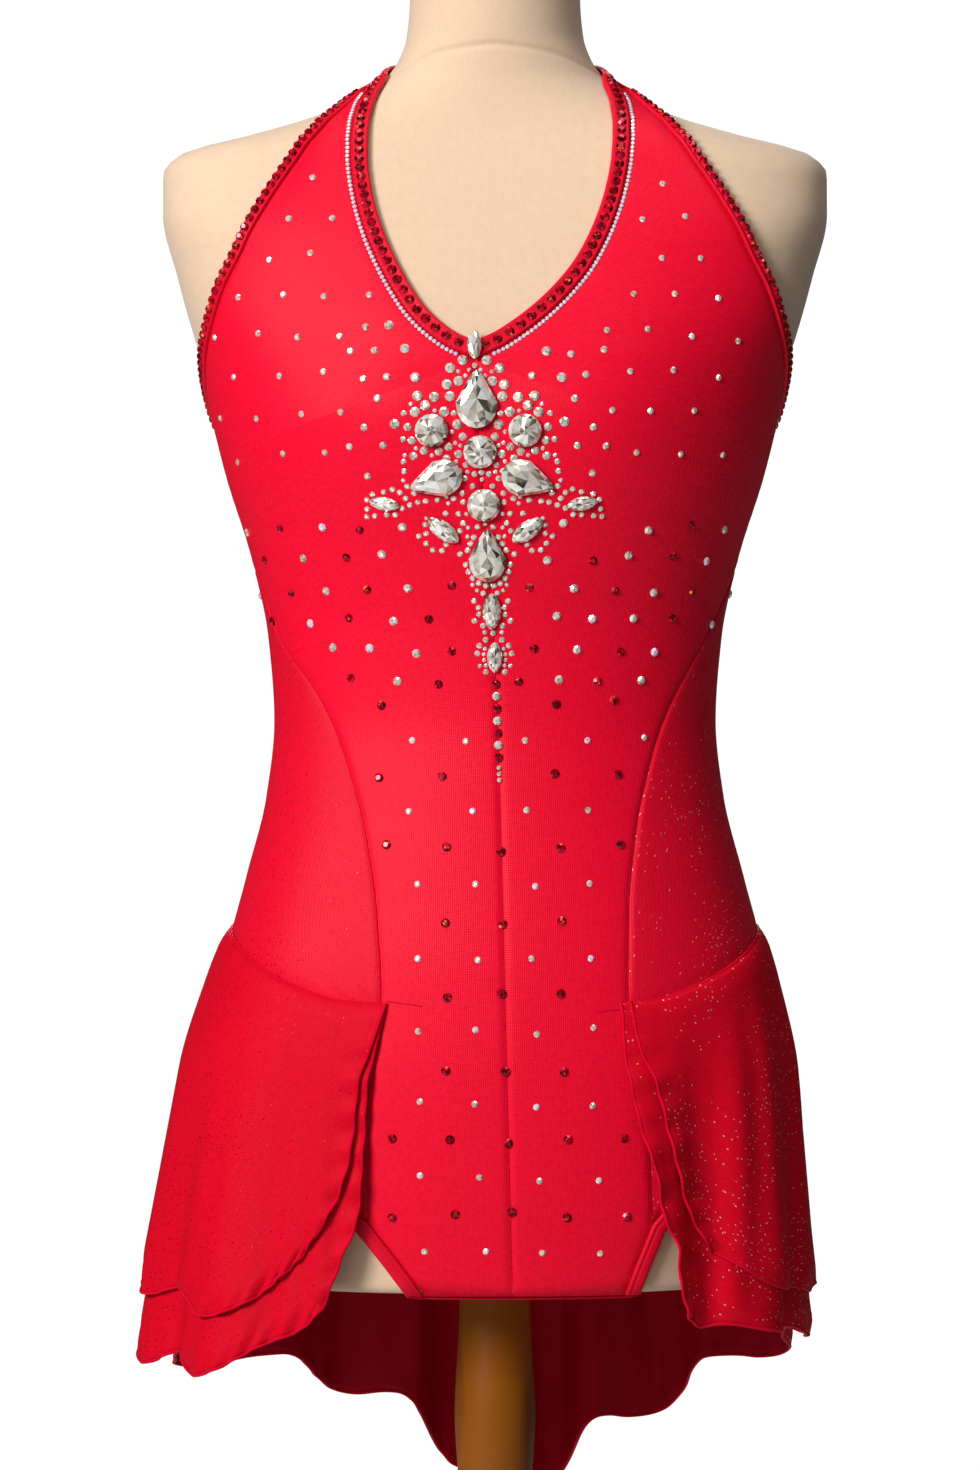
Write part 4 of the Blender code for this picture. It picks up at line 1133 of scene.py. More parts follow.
class Maker:
    """Turns points into the object's pieces and dresses them."""

    def __init__(self) -> None:
        """Builds every finish and every tree."""
        effects = Effects()
        self.materials = {finish: finish.value.build(effects) for finish in Finish}
        self.trees = Trees()

    def placed(self, points: Sequence | Array) -> list:
        """Points in metres above the floor, from millimetres above the torso's underside."""
        return ((np.asarray(points, float) + (0, 0, TORSO.underside)) * MM).tolist()

    def mesh(
        self, name: str, points: Array, faces: list, cloth: Array | None = None,
        facets: Array | None = None, smooth: bool = True,
    ) -> Mesh:
        """A mesh with its faces turned outwards.

        Args:
            name: the mesh's name.
            points: its places in millimetres, above the torso's underside.
            faces: the points' numbers in each face.
            cloth: each point's place on the flat cloth, in millimetres.
            facets: a tone for each face, which the crystal finish turns into a painted reflection.
            smooth: whether it is shaded smooth.

        Returns:
            The mesh, in metres.
        """
        mesh = bpy.data.meshes.new(name)
        mesh.from_pydata(self.placed(points), [], faces)
        if cloth is not None:
            layer = mesh.uv_layers.new(name="cloth")
            corners = np.empty(len(mesh.loops), int)
            mesh.loops.foreach_get("vertex_index", corners)
            layer.data.foreach_set("uv", (np.asarray(cloth)[corners] * MM).ravel())
        if facets is not None:
            mesh.attributes.new("facet", "FLOAT", "FACE").data.foreach_set("value", facets)
        else:
            outside = (np.arange(len(points)) < len(points) / 2).astype(np.float32)
            mesh.attributes.new("outside", "FLOAT", "POINT").data.foreach_set("value", outside)
        shape = bmesh.new()
        shape.from_mesh(mesh)
        bmesh.ops.recalc_face_normals(shape, faces=shape.faces)
        shape.to_mesh(mesh)
        shape.free()
        mesh.polygons.foreach_set("use_smooth", [smooth] * len(mesh.polygons))
        mesh.update()
        return mesh

    def paths(self, name: str, lines: Sequence[Array]) -> Mesh:
        """Open paths as a mesh of edges."""
        points, edges = [], []
        for line in lines:
            start = len(points)
            points += self.placed(line)
            edges += [(start + i, start + i + 1) for i in range(len(line) - 1)]
        mesh = bpy.data.meshes.new(name)
        mesh.from_pydata(points, edges, [])
        return mesh

    def piece(
        self, name: str, mesh: Mesh, finish: Finish, *nodes: str, slot: str | None = None
    ) -> Object:
        """A piece of the object that rides on its body.

        Args:
            name: the piece's name.
            mesh: its mesh.
            finish: its finish.
            nodes: the CAD nodes that it stands for.
            slot: not used.

        Returns:
            The piece's object.
        """
        piece = bpy.data.objects.new(name, mesh)
        bpy.context.scene.collection.objects.link(piece)
        mesh.materials.clear()
        mesh.materials.append(self.materials[finish])
        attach(piece, "root")
        if nodes:
            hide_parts(*nodes)
        LOG.info("%s: %d faces for %s", name, len(mesh.polygons), ", ".join(nodes) or "no node")
        return piece

    def applied(self, mesh: Mesh, tree: NodeTree, finish: Finish, **inputs: object) -> Mesh:
        """The mesh that a Geometry Nodes tree makes of another.

        Args:
            mesh: the mesh that the tree starts from.
            tree: the tree.
            finish: the finish that it sets.
            inputs: a value for each of the tree's other named inputs.

        Returns:
            The new mesh.
        """
        inputs["Finish"] = self.materials[finish]
        start = bpy.data.objects.new(mesh.name, mesh)
        bpy.context.scene.collection.objects.link(start)
        modifier = start.modifiers.new("tree", "NODES")
        modifier.node_group = tree
        for socket in tree.interface.items_tree:
            if socket.item_type == "SOCKET" and socket.in_out == "INPUT" and socket.name in inputs:
                modifier[socket.identifier] = inputs[socket.name]
        view = bpy.context.evaluated_depsgraph_get()
        made = bpy.data.meshes.new_from_object(start.evaluated_get(view), depsgraph=view)
        start.modifiers.clear()
        bpy.data.objects.remove(start)
        made.name = mesh.name
        return made


def shell(outer: Array, inner: Array, cloth: Array) -> tuple[Array, list, Array]:
    """A closed wall of cloth from its two faces.

    Args:
        outer: the grid of its outer face.
        inner: the grid of its inner face.
        cloth: the grid of flat places.

    Returns:
        The points, the faces and each point's flat place.
    """
    rows, columns = outer.shape[:2]
    count = rows * columns
    number = np.arange(count).reshape(rows, columns)
    corners = np.stack([number[:-1, :-1], number[:-1, 1:], number[1:, 1:], number[1:, :-1]], axis=-1)
    quads = corners.reshape(-1, 4)
    around = np.concatenate(
        [number[0], number[1:-1, -1], number[-1, ::-1], number[-2:0:-1, 0]]
    )
    following = np.roll(around, -1)
    wall = np.stack([around, following, following + count, around + count], axis=-1)
    faces = np.vstack([quads, quads[:, ::-1] + count, wall])
    points = np.vstack([outer.reshape(-1, 3), inner.reshape(-1, 3)])
    return points, faces.tolist(), np.vstack([cloth.reshape(-1, 2)] * 2)


def crowded(count: int, extra: Sequence[float]) -> Array:
    """Shares of the way across, even in the middle and closer beside both edges."""
    even = np.linspace(0, 1, count + 1)[1:-1]
    near = np.asarray(extra) / count
    return np.concatenate([[0.0], near, even, 1 - near[::-1], [1.0]])


@dataclass
class Bodice:
    """The leotard's cut pieces, their seams and bindings."""

    gap: float = 0.9
    wall: float = 1.4
    seam_gap: float = 0.16
    neckline_width: float = 8.6
    armhole_width: float = 5.6
    leg_width: float = 7.5
    leg_overrun: float = 12.0
    binding_wall: float = 2.4
    binding_gap: float = 0.2
    fineness: int = 5
    seam_dip: float = 0.85
    seam_width: float = 1.7
    pucker: float = 0.16
    pucker_pitch: float = 8.5
    seam_reach: float = 40.0
    pucker_in: float = 2.5
    pucker_width: float = 3.0
    thinnest: float = 0.2
    beside: tuple[float, ...] = (0.2, 0.45, 0.75)

    def __post_init__(self) -> None:
        """Works out how many steps each seam has."""
        steps = {
            "centre": 17, "neckline": 15, "armhole_front": 13, "armhole_back": 11, "side": 4,
            "princess": 14, "leg_end": 1, "leg_side": 12, "front": 10, "back": 6,
        }
        self.steps = {name: count * self.fineness for name, count in steps.items()}

    def front_edge(self, table: Sequence[Place], side: int) -> Array:
        """A table of distances from the centre front as a chart line."""
        table = np.array(table)
        return TORSO.on_front(table[:, 0], side * table[:, 1])

    def across_strap(self, side: int, distance: float) -> Array:
        """A place on the strap's end, from the neckline or, if negative, from the armhole."""
        neck, arm = np.array(NECKLINE_END, float), np.array(ARMHOLE_FRONT[0], float)
        width = float(np.linalg.norm(TORSO.point(*neck) - TORSO.point(*arm)))
        share = distance / width if distance >= 0 else 1 + distance / width
        return (neck + share * (arm - neck)) * (side, 1)

    def neckline_at(self, distance: float) -> Array:
        """The neckline's edge moved onto the bodice."""
        point = TORSO.on_front(NECKLINE_POINT, 0.0)[None]
        halves = [
            TORSO.resampled(
                np.vstack([point, self.front_edge(NECKLINE, side), [self.across_strap(side, 0)]]),
                self.steps["neckline"],
            )
            for side in (-1, 1)
        ]
        line = TORSO.inset(chained(halves[0][::-1], halves[1]), -distance)
        line[0], line[-1] = self.across_strap(-1, distance), self.across_strap(1, distance)
        return line

    def armhole_at(self, side: int, distance: float) -> Array:
        """The armhole's and open back's edge on one side, moved onto the bodice."""
        line = chained(
            TORSO.resampled(ARMHOLE_FRONT, self.steps["armhole_front"]),
            TORSO.resampled(ARMHOLE_BACK, self.steps["armhole_back"]),
        )
        if distance:
            line = TORSO.inset(line, -distance)
            line[0] = self.across_strap(1, -distance)
            line[-1, 0] = ARMHOLE_BACK[-1].turn
        return line if side > 0 else mirrored(line)

    def leg_opening_at(self, side: int, distance: float) -> Array:
        """The leg opening's edge on one side, from front to back, moved onto the bodice."""
        corner = (TORSO.turn_at(0, GUSSET[0].centre + side * GUSSET[0].half_width), HEM)
        along = np.vstack([self.front_edge(PRINCESS_FRONT, side)[:1], np.array(LEG_SIDE) * (side, 1)])
        end = (side * LEG_BACK.turn, LEG_BACK.height)
        line = chained(
            straight(corner, along[0], self.steps["leg_end"]),
            TORSO.resampled(along, self.steps["leg_side"]),
            straight(along[-1], end, 2 * self.steps["leg_end"]),
        )
        line[0] = self.at_height(line[0], line[1], -self.leg_overrun)
        line[-1] = self.at_height(line[-1], line[-2], -self.leg_overrun)
        line = TORSO.inset(line, side * distance)
        line[0] = self.at_height(line[0], line[1], HEM)
        line[-1] = self.at_height(line[-1], line[-2], HEM)
        return line

    def at_height(self, first: Array, second: Array, height: float) -> Array:
        """The place at a height on the line through two chart places."""
        return first + (second - first) * (height - first[1]) / (second[1] - first[1])

    def seams(self, side: int) -> dict[str, Array]:
        """Every seam of one side of the bodice.

        Args:
            side: -1 or 1.

        Returns:
            A chart line for each seam's name.
        """
        middle, arm_steps = self.steps["neckline"], self.steps["armhole_front"]
        neck = self.neckline_at(self.neckline_width + self.binding_gap)
        arm = self.armhole_at(side, self.armhole_width + self.binding_gap)
        leg = self.leg_opening_at(side, self.leg_width + self.binding_gap)
        first, last = self.steps["leg_end"], self.steps["leg_end"] + self.steps["leg_side"]
        top = np.array(PRINCESS_TOP) * (side, 1)
        front = np.vstack([leg[first][None], self.front_edge(PRINCESS_FRONT, side)[1:], top])
        back = np.vstack([leg[last][None], np.array(PRINCESS_BACK) * (side, 1), top[-1:]])
        return {
            "neckline": neck[: middle + 1][::-1] if side < 0 else neck[middle:],
            "armhole": arm[: arm_steps + 1],
            "scoop": arm[arm_steps:],
            "side": straight(top[-1], arm[arm_steps], self.steps["side"]),
            "princess_front": TORSO.resampled(front, self.steps["princess"]),
            "princess_back": TORSO.resampled(back, self.steps["princess"]),
            "leg_front": leg[: first + 1],
            "leg_side": leg[first: last + 1],
            "leg_back": leg[last:],
        }

    def panel(self, marks: Array, drawn_in: Array | float = 0.0) -> tuple[Array, list, Array]:
        """A cut piece on the torso, its outer face drawn in at every seam.

        Args:
            marks: a grid of chart places.
            drawn_in: how much thinner it is at each place.

        Returns:
            The points, the faces and each point's flat place.
        """
        base = TORSO.lifted(marks, self.gap)
        across, up = run_length(base, 1), run_length(base, 0)
        dip = np.zeros(across.shape)
        for run in (across, up):
            axis = 1 if run is across else 0
            whole = np.take(run, [-1], axis=axis)
            other = up if run is across else across
            for distance in (run, whole - run):
                near = np.minimum(distance, self.seam_reach)
                dip += self.seam_dip * bell(near, self.seam_width)
                wave = 0.5 + 0.5 * np.sin(other * math.tau / self.pucker_pitch)
                dip += self.pucker * wave * bell(near - self.pucker_in, self.pucker_width)
        thickness = np.maximum(self.wall - dip - drawn_in, self.thinnest)
        cloth = np.stack([across, up], axis=-1)
        return shell(TORSO.lifted(marks, self.gap + thickness), base, cloth)

    def band(
        self, edge_at: Callable[[float], Array], width: float, profile: Sequence[tuple]
    ) -> tuple[Array, list, Array]:
        """A folded binding.

        Args:
            edge_at: gives its lines at distances from the edge.
            width: its width.
            profile: its section, as shares of the width and of the wall.

        Returns:
            The points, the faces and each point's flat place.
        """
        lines = np.stack([edge_at(share * width) for share, _ in profile], axis=1)
        lift = self.gap + self.binding_wall * np.array([level for _, level in profile])
        outer = TORSO.lifted(lines, lift[None, :])
        inner = TORSO.lifted(lines, self.gap)
        cloth = np.stack([run_length(outer, 1), run_length(outer, 0)], axis=-1)
        return shell(outer, inner, cloth)


class SeamEnd(NamedTuple):
    """An end of the skirt's seam on the front, from its outer to its inner place."""

    outer: float
    inner: float
    height: float


SEAM_ENDS = rows_of(SeamEnd, (-57.0, -40.0, 142.4), (62.0, 44.0, 139.4))


class Hold(Enum):
    """How a sheet of cloth is held."""

    STRETCHED = "stretched"
    HUNG = "hung"


class Cloth(NamedTuple):
    """A piece of cloth: its finish and the flat size that it was cut to, in metres."""

    finish: Finish
    width: float
    length: float
    area: float | None = None


CLOTHS = {
    "front_left": Cloth(Finish.SATIN, 0.155, 0.61, 0.049),
    "front_right": Cloth(Finish.SATIN, 0.165, 0.61, 0.052),
    "side_left": Cloth(Finish.GLITTER, 0.20, 0.33, 0.049),
    "side_right": Cloth(Finish.GLITTER, 0.20, 0.33, 0.047),
    "back": Cloth(Finish.SATIN, 0.27, 0.42, 0.070),
    "gusset": Cloth(Finish.SATIN, 0.11, 0.17, 0.0095),
    "binding_neckline": Cloth(Finish.BINDING, 0.010, 0.41),
    "binding_armhole_left": Cloth(Finish.BINDING, 0.010, 0.53, 0.0033),
    "binding_armhole_right": Cloth(Finish.BINDING, 0.010, 0.53, 0.0033),
    "binding_leg_left": Cloth(Finish.BINDING, 0.010, 0.37, 0.0033),
    "binding_leg_right": Cloth(Finish.BINDING, 0.010, 0.37, 0.0032),
    "neckband": Cloth(Finish.BINDING, 0.020, 0.23, 0.0043),
    "skirt_under": Cloth(Finish.SKIRT, 0.78, 0.30, 0.162),
    "skirt_upper": Cloth(Finish.SKIRT, 0.74, 0.24, 0.132),
}
NECKLINE_PROFILE = [
    (0.0, 0.30), (0.03, 0.74), (0.09, 0.96), (0.16, 1.0), (0.26, 0.90), (0.4, 0.84),
    (0.6, 0.84), (0.74, 0.90), (0.84, 1.0), (0.91, 0.94), (0.97, 0.66), (1.0, 0.28),
]
ARMHOLE_PROFILE = [
    (0.0, 0.30), (0.05, 0.78), (0.15, 0.94), (0.35, 0.96), (0.52, 0.9), (0.62, 0.66),
    (0.68, 0.74), (0.78, 1.0), (0.88, 0.98), (0.96, 0.7), (1.0, 0.28),
]
LEG_PROFILE = [
    (0.0, 0.30), (0.04, 0.76), (0.12, 0.95), (0.3, 1.0), (0.5, 0.97), (0.66, 0.88),
    (0.72, 0.74), (0.78, 0.86), (0.9, 0.88), (0.97, 0.62), (1.0, 0.26),
]


@dataclass
class Garment:
    """The leotard's bodice, bindings, neckband and gusset."""

    maker: Maker
    bodice: Bodice
    corner: float = 1.2
    band_steps: int = 60
    gusset_steps: tuple[int, int] = (48, 24)
    gusset_front: float = 1.5
    gusset_back: float = 0.5
    gusset_rise: float = -0.8
    gusset_dip: float = 0.7
    gusset_edge: float = 2.0
    stitch_in: float = 0.9
    seam_end_radius: float = 0.32
    seam_end_drop: float = 2.2
    seam_end_lift: float = 0.05
    seam_end_steps: int = 8
    tuck: float = 0.9
    tuck_above: float = 0.8
    tuck_run: float = 4.0

    def sheet(
        self, node: str, shape: tuple, held: Hold = Hold.STRETCHED,
        rests_on: Sequence[str] = ("dress_form_cover",), edging: Sequence[Object] = (),
    ) -> None:
        """A sheet of cloth.

        Args:
            node: the CAD node that it stands for.
            shape: its points, faces and flat places.
            held: not used.
            rests_on: not used.
            edging: not used.
        """
        name, cloth = f"{node}_cloth", CLOTHS[node]
        mesh = self.maker.mesh(name, *shape)
        self.maker.piece(name, mesh, cloth.finish, node)
        LOG.info("%s: %.4f square metres", name, sum(face.area for face in mesh.polygons) / 2)

    def under_skirt(self, marks: Array) -> Array:
        """How much thinner the cloth is drawn below the skirt's seam, for chart places."""
        girth = marks[..., 0] % 360
        seam = curve_of(SKIRT_SEAM, "height")(np.minimum(girth, 360 - girth))
        return self.tuck * eased((seam + self.tuck_above - marks[..., 1]) / self.tuck_run)

    def build_fronts(self) -> None:
        """The two halves of the front, from the leg to the neckband."""
        cut = self.bodice
        for side, word in SIDES:
            seams = cut.seams(side)
            outer = chained(
                seams["leg_front"], seams["princess_front"], seams["side"], seams["armhole"][::-1]
            )
            first = cut.steps["leg_end"]
            last = first + cut.steps["princess"] + cut.steps["side"]
            outer[first:last] = TORSO.inset(outer, side * cut.seam_gap / 2)[first:last]
            neck = seams["neckline"]
            neck[0] = TORSO.on_front(neck[0, 1], side * cut.seam_gap / 2)
            heights = np.linspace(HEM, neck[0, 1], cut.steps["centre"] + 1)
            inner = chained(TORSO.on_front(heights, side * cut.seam_gap / 2), neck)
            across = crowded(cut.steps["front"], cut.beside)
            bottom, top = (between(inner[end], outer[end], across) for end in (0, -1))
            shape = cut.panel(patch(inner, outer, across, bottom, top))
            self.sheet(f"front_{word}", shape)

    def build_sides(self) -> None:
        """The two side panels, between the front and back princess seams."""
        cut = self.bodice
        for side, word in SIDES:
            seams = cut.seams(side)
            front = TORSO.inset(seams["princess_front"], side * -cut.seam_gap / 2)
            back = TORSO.inset(seams["princess_back"], side * cut.seam_gap / 2)
            for edge, way in ((front, -1), (back, 1)):
                edge[-1] = TORSO.slide(edge[-1:], np.array([[0, way, -1.3]]), self.corner)[0]
            across = crowded(cut.steps["leg_side"], cut.beside)
            leg = seams["leg_side"]
            run = np.linspace(0, 1, len(leg))
            bottom = read_at(leg, run, across)
            bottom[0], bottom[-1] = front[0], back[0]
            marks = patch(front, back, across, bottom, between(front[-1], back[-1], across))
            self.sheet(f"side_{word}", cut.panel(marks, self.under_skirt(marks)))

    def build_back(self) -> None:
        """The back panel, from side seam to side seam below the open back."""
        cut = self.bodice
        seams = cut.seams(1)
        outer = chained(seams["leg_back"][::-1], seams["princess_back"], seams["side"])
        outer[1:] = TORSO.inset(outer, -cut.seam_gap / 2)[1:]
        scoop = seams["scoop"][::-1]
        scoop[0, 0] = 180
        inner_steps = len(outer) - len(scoop) + 1
        inner = chained(straight((180, HEM), scoop[0], inner_steps), scoop[:-1])
        across = crowded(cut.steps["back"], cut.beside)
        bottom, top = (between(inner[end], outer[end], across) for end in (0, -1))
        half = patch(inner, outer, across, bottom, top)
        marks = np.concatenate([past_back(half[:, :0:-1]), half], axis=1)[:, ::-1]
        self.sheet("back", cut.panel(marks, self.under_skirt(marks)))

    def build_bindings(self) -> None:
        """The bindings of the neckline, the armholes with the open back, and the legs."""
        cut = self.bodice
        shape = cut.band(cut.neckline_at, cut.neckline_width, NECKLINE_PROFILE)
        self.sheet("binding_neckline", shape)
        for side, word in SIDES:
            for kind, edge, width, profile in (
                ("armhole", cut.armhole_at, cut.armhole_width, ARMHOLE_PROFILE),
                ("leg", cut.leg_opening_at, cut.leg_width, LEG_PROFILE),
            ):
                shape = cut.band(lambda distance: edge(side, distance), width, profile)
                self.sheet(f"binding_{kind}_{word}", shape)

    def build_neckband(self) -> None:
        """The band behind the neck that joins the two straps."""
        halves = (TORSO.resampled(edge, self.band_steps) for edge in (NECKBAND_UPPER, NECKBAND_LOWER))
        upper, lower = (np.vstack([half, past_back(half[-2::-1])]) for half in halves)
        shape = self.bodice.band(
            lambda share: upper + (lower - upper) * share, 1.0, NECKLINE_PROFILE
        )
        self.sheet("neckband", shape)

    def build_gusset(self) -> None:
        """The strip under the torso, which passes beside the pole."""
        cut, (down, sideways) = self.bodice, self.gusset_steps
        depth = np.linspace(0, 1, down + 1)[:, None]
        centre, half = curve_of(GUSSET, "centre")(depth), curve_of(GUSSET, "half_width")(depth)
        across = centre + half * np.linspace(-1, 1, sideways + 1)[None]
        front = -TORSO.point(TORSO.turn_at(0, across), 0)[..., 1]
        back = TORSO.point(self.back_turn(across), 0)[..., 1]
        reach = front + back - (self.gusset_front + self.gusset_back)
        y = self.gusset_front - front + depth * reach
        rise = np.full(across.shape, self.gusset_rise)
        upper = np.stack([across, y, rise], axis=-1)
        run_across, run_down = run_length(upper, 1), run_length(upper, 0)
        edge = np.minimum(run_across, run_across[:, -1:] - run_across)
        thickness = cut.wall - self.gusset_dip * bell(edge, self.gusset_edge)
        lower = upper - thickness[..., None] * (0, 0, 1)
        shape = shell(lower, upper, np.stack([run_across, run_down], axis=-1))
        self.sheet("gusset", shape)

    def back_turn(self, across: Array) -> Array:
        """The turns at which the lower edge of the back is at distances from the axis."""
        low, high = np.full(across.shape, 90.0), np.full(across.shape, 270.0)
        for _ in range(40):
            middle = (low + high) / 2
            beyond = TORSO.point(middle, 0)[..., 0] > across
            low, high = np.where(beyond, middle, low), np.where(beyond, high, middle)
        return low

    def build_stitches(self) -> None:
        """Stitches along the bindings."""
        cut, maker = self.bodice, self.maker
        sides = (-1, 1)
        for place, level, lines in (
            ("neckline", 0.98, [cut.neckline_at(cut.neckline_width - self.stitch_in)]),
            ("armholes", 0.68, [cut.armhole_at(side, cut.armhole_width * 0.62) for side in sides]),
            ("legs", 0.76, [cut.leg_opening_at(side, cut.leg_width * 0.72) for side in sides]),
        ):
            lift = cut.gap + cut.binding_wall * level
            name = f"stitches_{place}"
            paths = maker.paths(name, [TORSO.lifted(line, lift) for line in lines])
            mesh = maker.applied(paths, maker.trees.stitches, Finish.RED_THREAD)
            maker.piece(name, mesh, Finish.RED_THREAD)

    def cord(self, name: str, lines: Sequence[Array], radius: float, slot: str) -> Object:
        """A thin round cord of sewn cloth along paths.

        Args:
            name: the piece's name.
            lines: the paths, in millimetres.
            radius: the cord's radius.
            slot: passed on to piece().

        Returns:
            The piece's object.
        """
        maker, finish = self.maker, Finish.RED_THREAD
        paths = maker.paths(name, lines)
        mesh = maker.applied(paths, maker.trees.roll, finish, Radius=radius * MM)
        return maker.piece(name, mesh, finish, slot=slot)

    def build_seam_ends(self) -> None:
        """The ends of the skirt's seam, which run on into the front."""
        lift = self.bodice.gap + self.bodice.wall + self.seam_end_lift
        share = np.linspace(0, 1, self.seam_end_steps + 1)
        lines = []
        for end in SEAM_ENDS:
            across = end.outer + share * (end.inner - end.outer)
            marks = TORSO.on_front(end.height - share * self.seam_end_drop, across)
            lines.append(TORSO.lifted(marks, lift))
        self.cord("seam_ends", lines, self.seam_end_radius, "red_stretch")

    def build(self) -> None:
        """Builds every piece of the leotard but the skirt."""
        self.build_fronts()
        self.build_sides()
        self.build_back()
        self.build_bindings()
        self.build_neckband()
        self.build_gusset()
        self.build_stitches()
        self.build_seam_ends()


@dataclass
class Skirt:
    """The two-layer skirt."""

    maker: Maker
    garment: Garment
    wall: float = 0.9
    columns: int = 420
    rows: int = 56
    hip: float = 105.0
    full_drop: float = 170.0
    growth: float = 1.7
    seam_run: float = 9.0
    seam_wall: float = 0.4
    hem_sway: float = 0.6
    roll_radius: float = 0.85
    cord_radius: float = 0.75
    cord_lift: float = 2.5
    seam_hidden: float = 0.5
    seam_below: float = 1.3
    ridge_below: float = 2.6
    ridge_width: float = 2.0
    crease_run: float = 90.0
    curl: float = 1.6
    curl_run: float = 7.0
    frill: float = 1.0
    frill_run: float = 9.0
    frill_pitch: float = 17.0
    frill_start: float = 40.0
    chart_reach: float = 2.4

    def __post_init__(self) -> None:
        """Reads the skirt's tables."""
        self.seam_curve = curve_of(SKIRT_SEAM, "height")
        self.flare_curve = curve_of(SKIRT_FLARE, "rate")

    def seam(self, girth: Array) -> Array:
        """The height of the skirt's seam, the same on both sides."""
        return self.seam_curve(np.minimum(girth, 360 - girth))

    def resampled(self, line: Sequence[Girth], count: int) -> Array:
        """An edge as count + 1 places at about equal distances."""
        line = np.array(line, float)
        return spaced(line, run_length(line * (self.chart_reach, 1), 0), count)

    def fold(self, girth: Array, drop: Array) -> Array:
        """How far the folds push the cloth out, at girths and distances below the seam."""
        waves = sum(f.depth * bell(girth - f.girth, f.half_width) for f in SKIRT_FOLDS)
        return (np.maximum(drop, 0) / self.full_drop) ** self.growth * waves

    def place(
        self, layer: SkirtCut, marks: Array, from_edge: Array, from_hem: Array, along: Array
    ) -> Array:
        """Points of a layer, which hangs from the hip and flares below it.

        Args:
            layer: the layer's cut.
            marks: a grid of girths and heights.
            from_edge: how far each is from the nearest free edge.
            from_hem: how far each is above the hem.
            along: how far each is round the free edge.

        Returns:
            Points in millimetres.
        """
        girth, height = marks[..., 0], marks[..., 1]
        drop = np.maximum(self.seam(girth) - height, 0)
        held = np.maximum(height, self.hip)
        outward = TORSO.normal(-girth, held) * (1, 1, 0)
        fine = sum(r.depth * np.sin(girth * r.rate + height * r.slant + r.start) for r in RIPPLES)
        seam_ease = eased(drop / self.seam_run)
        out = layer.seam_lift + (layer.lift - layer.seam_lift) * seam_ease
        out = out + layer.seam_ridge * bell(drop - self.ridge_below, self.ridge_width)
        out = out + (layer.spread + self.flare_curve(girth)) * drop + self.fold(girth, drop)
        crease = sum(f.depth * bell(girth - f.girth, f.half_width) for f in SKIRT_CREASES)
        out = out + crease * eased(drop / self.crease_run)
        out = out + fine * (drop / self.full_drop) ** self.growth
        turns = along * math.tau / self.frill_pitch
        waves = 0.6 + np.sin(turns) + 0.7 * np.sin(turns * 0.43 + 1.0)
        fade = bell(from_edge, self.frill_run) * eased(drop / self.frill_start)
        out = out + self.frill * waves * fade - self.curl * bell(from_hem, self.curl_run)
        point = TORSO.point(-girth, held) + unit(outward) * out[..., None]
        point[..., 2] = height
        return point

    def build_layer(self, layer: SkirtCut) -> None:
        """One layer of the skirt and the roll round its free edges."""
        left, right = (self.resampled(edge, self.rows) for edge in (layer.left_edge, layer.right_edge))
        hem = [layer.left_edge[-1], *layer.hem, layer.right_edge[-1]]
        hem = self.resampled(hem, self.columns)
        sway = self.fold(hem[1:-1, 0], self.seam(hem[1:-1, 0]) - hem[1:-1, 1])
        hem[1:-1, 1] -= self.hem_sway * sway
        girths = np.linspace(layer.left_edge[0].girth, layer.right_edge[0].girth, self.columns + 1)
        seam = np.stack([girths, self.seam(girths) - self.seam_hidden], axis=-1)
        across = np.linspace(0, 1, self.columns + 1)
        marks = patch(left[::-1], right[::-1], across, hem, seam)
        flat = marks * (self.chart_reach, 1)
        up, across_run = run_length(flat, 0), run_length(flat, 1)
        sides = np.minimum(across_run, across_run[:, -1:] - across_run)
        round_edge = np.where(sides < up, up[-1:] - up, up[-1:] + across_run)
        inner = self.place(layer, marks, np.minimum(up, sides), up, round_edge)
        along_row, along_column = np.gradient(inner, axis=1), np.gradient(inner, axis=0)
        out = unit(np.cross(along_row, along_column))
        facing = np.sum(out * TORSO.normal(-marks[..., 0], np.full(marks.shape[:2], self.hip)), axis=-1)
        out = out * np.sign(np.median(facing))
        drop = self.seam(marks[..., 0]) - marks[..., 1]
        wall = self.seam_wall + (self.wall - self.seam_wall) * eased(drop / self.seam_run)
        outer = inner + out * wall[..., None]
        girth_run = run_length(inner[self.rows * 2 // 3][None], 1)
        cloth = np.stack([np.broadcast_to(girth_run, up.shape), run_length(inner, 0)], axis=-1)
        middle = inner + out * self.wall / 2
        edge = np.vstack([middle[:, 0][::-1], middle[0, 1:-1], middle[:, -1]])
        roll = self.garment.cord(f"{layer.node}_roll", [edge], self.roll_radius, "red_glitter")
        below = ("dress_form_cover", "side_left_cloth", "side_right_cloth", "back_cloth")
        self.garment.sheet(layer.node, shell(outer, inner, cloth), Hold.HUNG, below, [roll])

    def build_seam(self) -> None:
        """The seam's folded edges, a soft cord under the top of the upper layer."""
        ends = UPPER_LAYER.left_edge[0].girth, UPPER_LAYER.right_edge[0].girth
        girths = np.linspace(*ends, self.columns + 1)
        marks = np.stack([-girths, self.seam(girths) - self.seam_below], axis=-1)
        line = TORSO.lifted(marks, self.cord_lift)
        self.garment.cord("skirt_seam", [line], self.cord_radius, "red_glitter")

    def build(self) -> None:
        """Builds both layers and their seam."""
        self.build_seam()
        self.build_layer(UNDER_LAYER)
        self.build_layer(UPPER_LAYER)


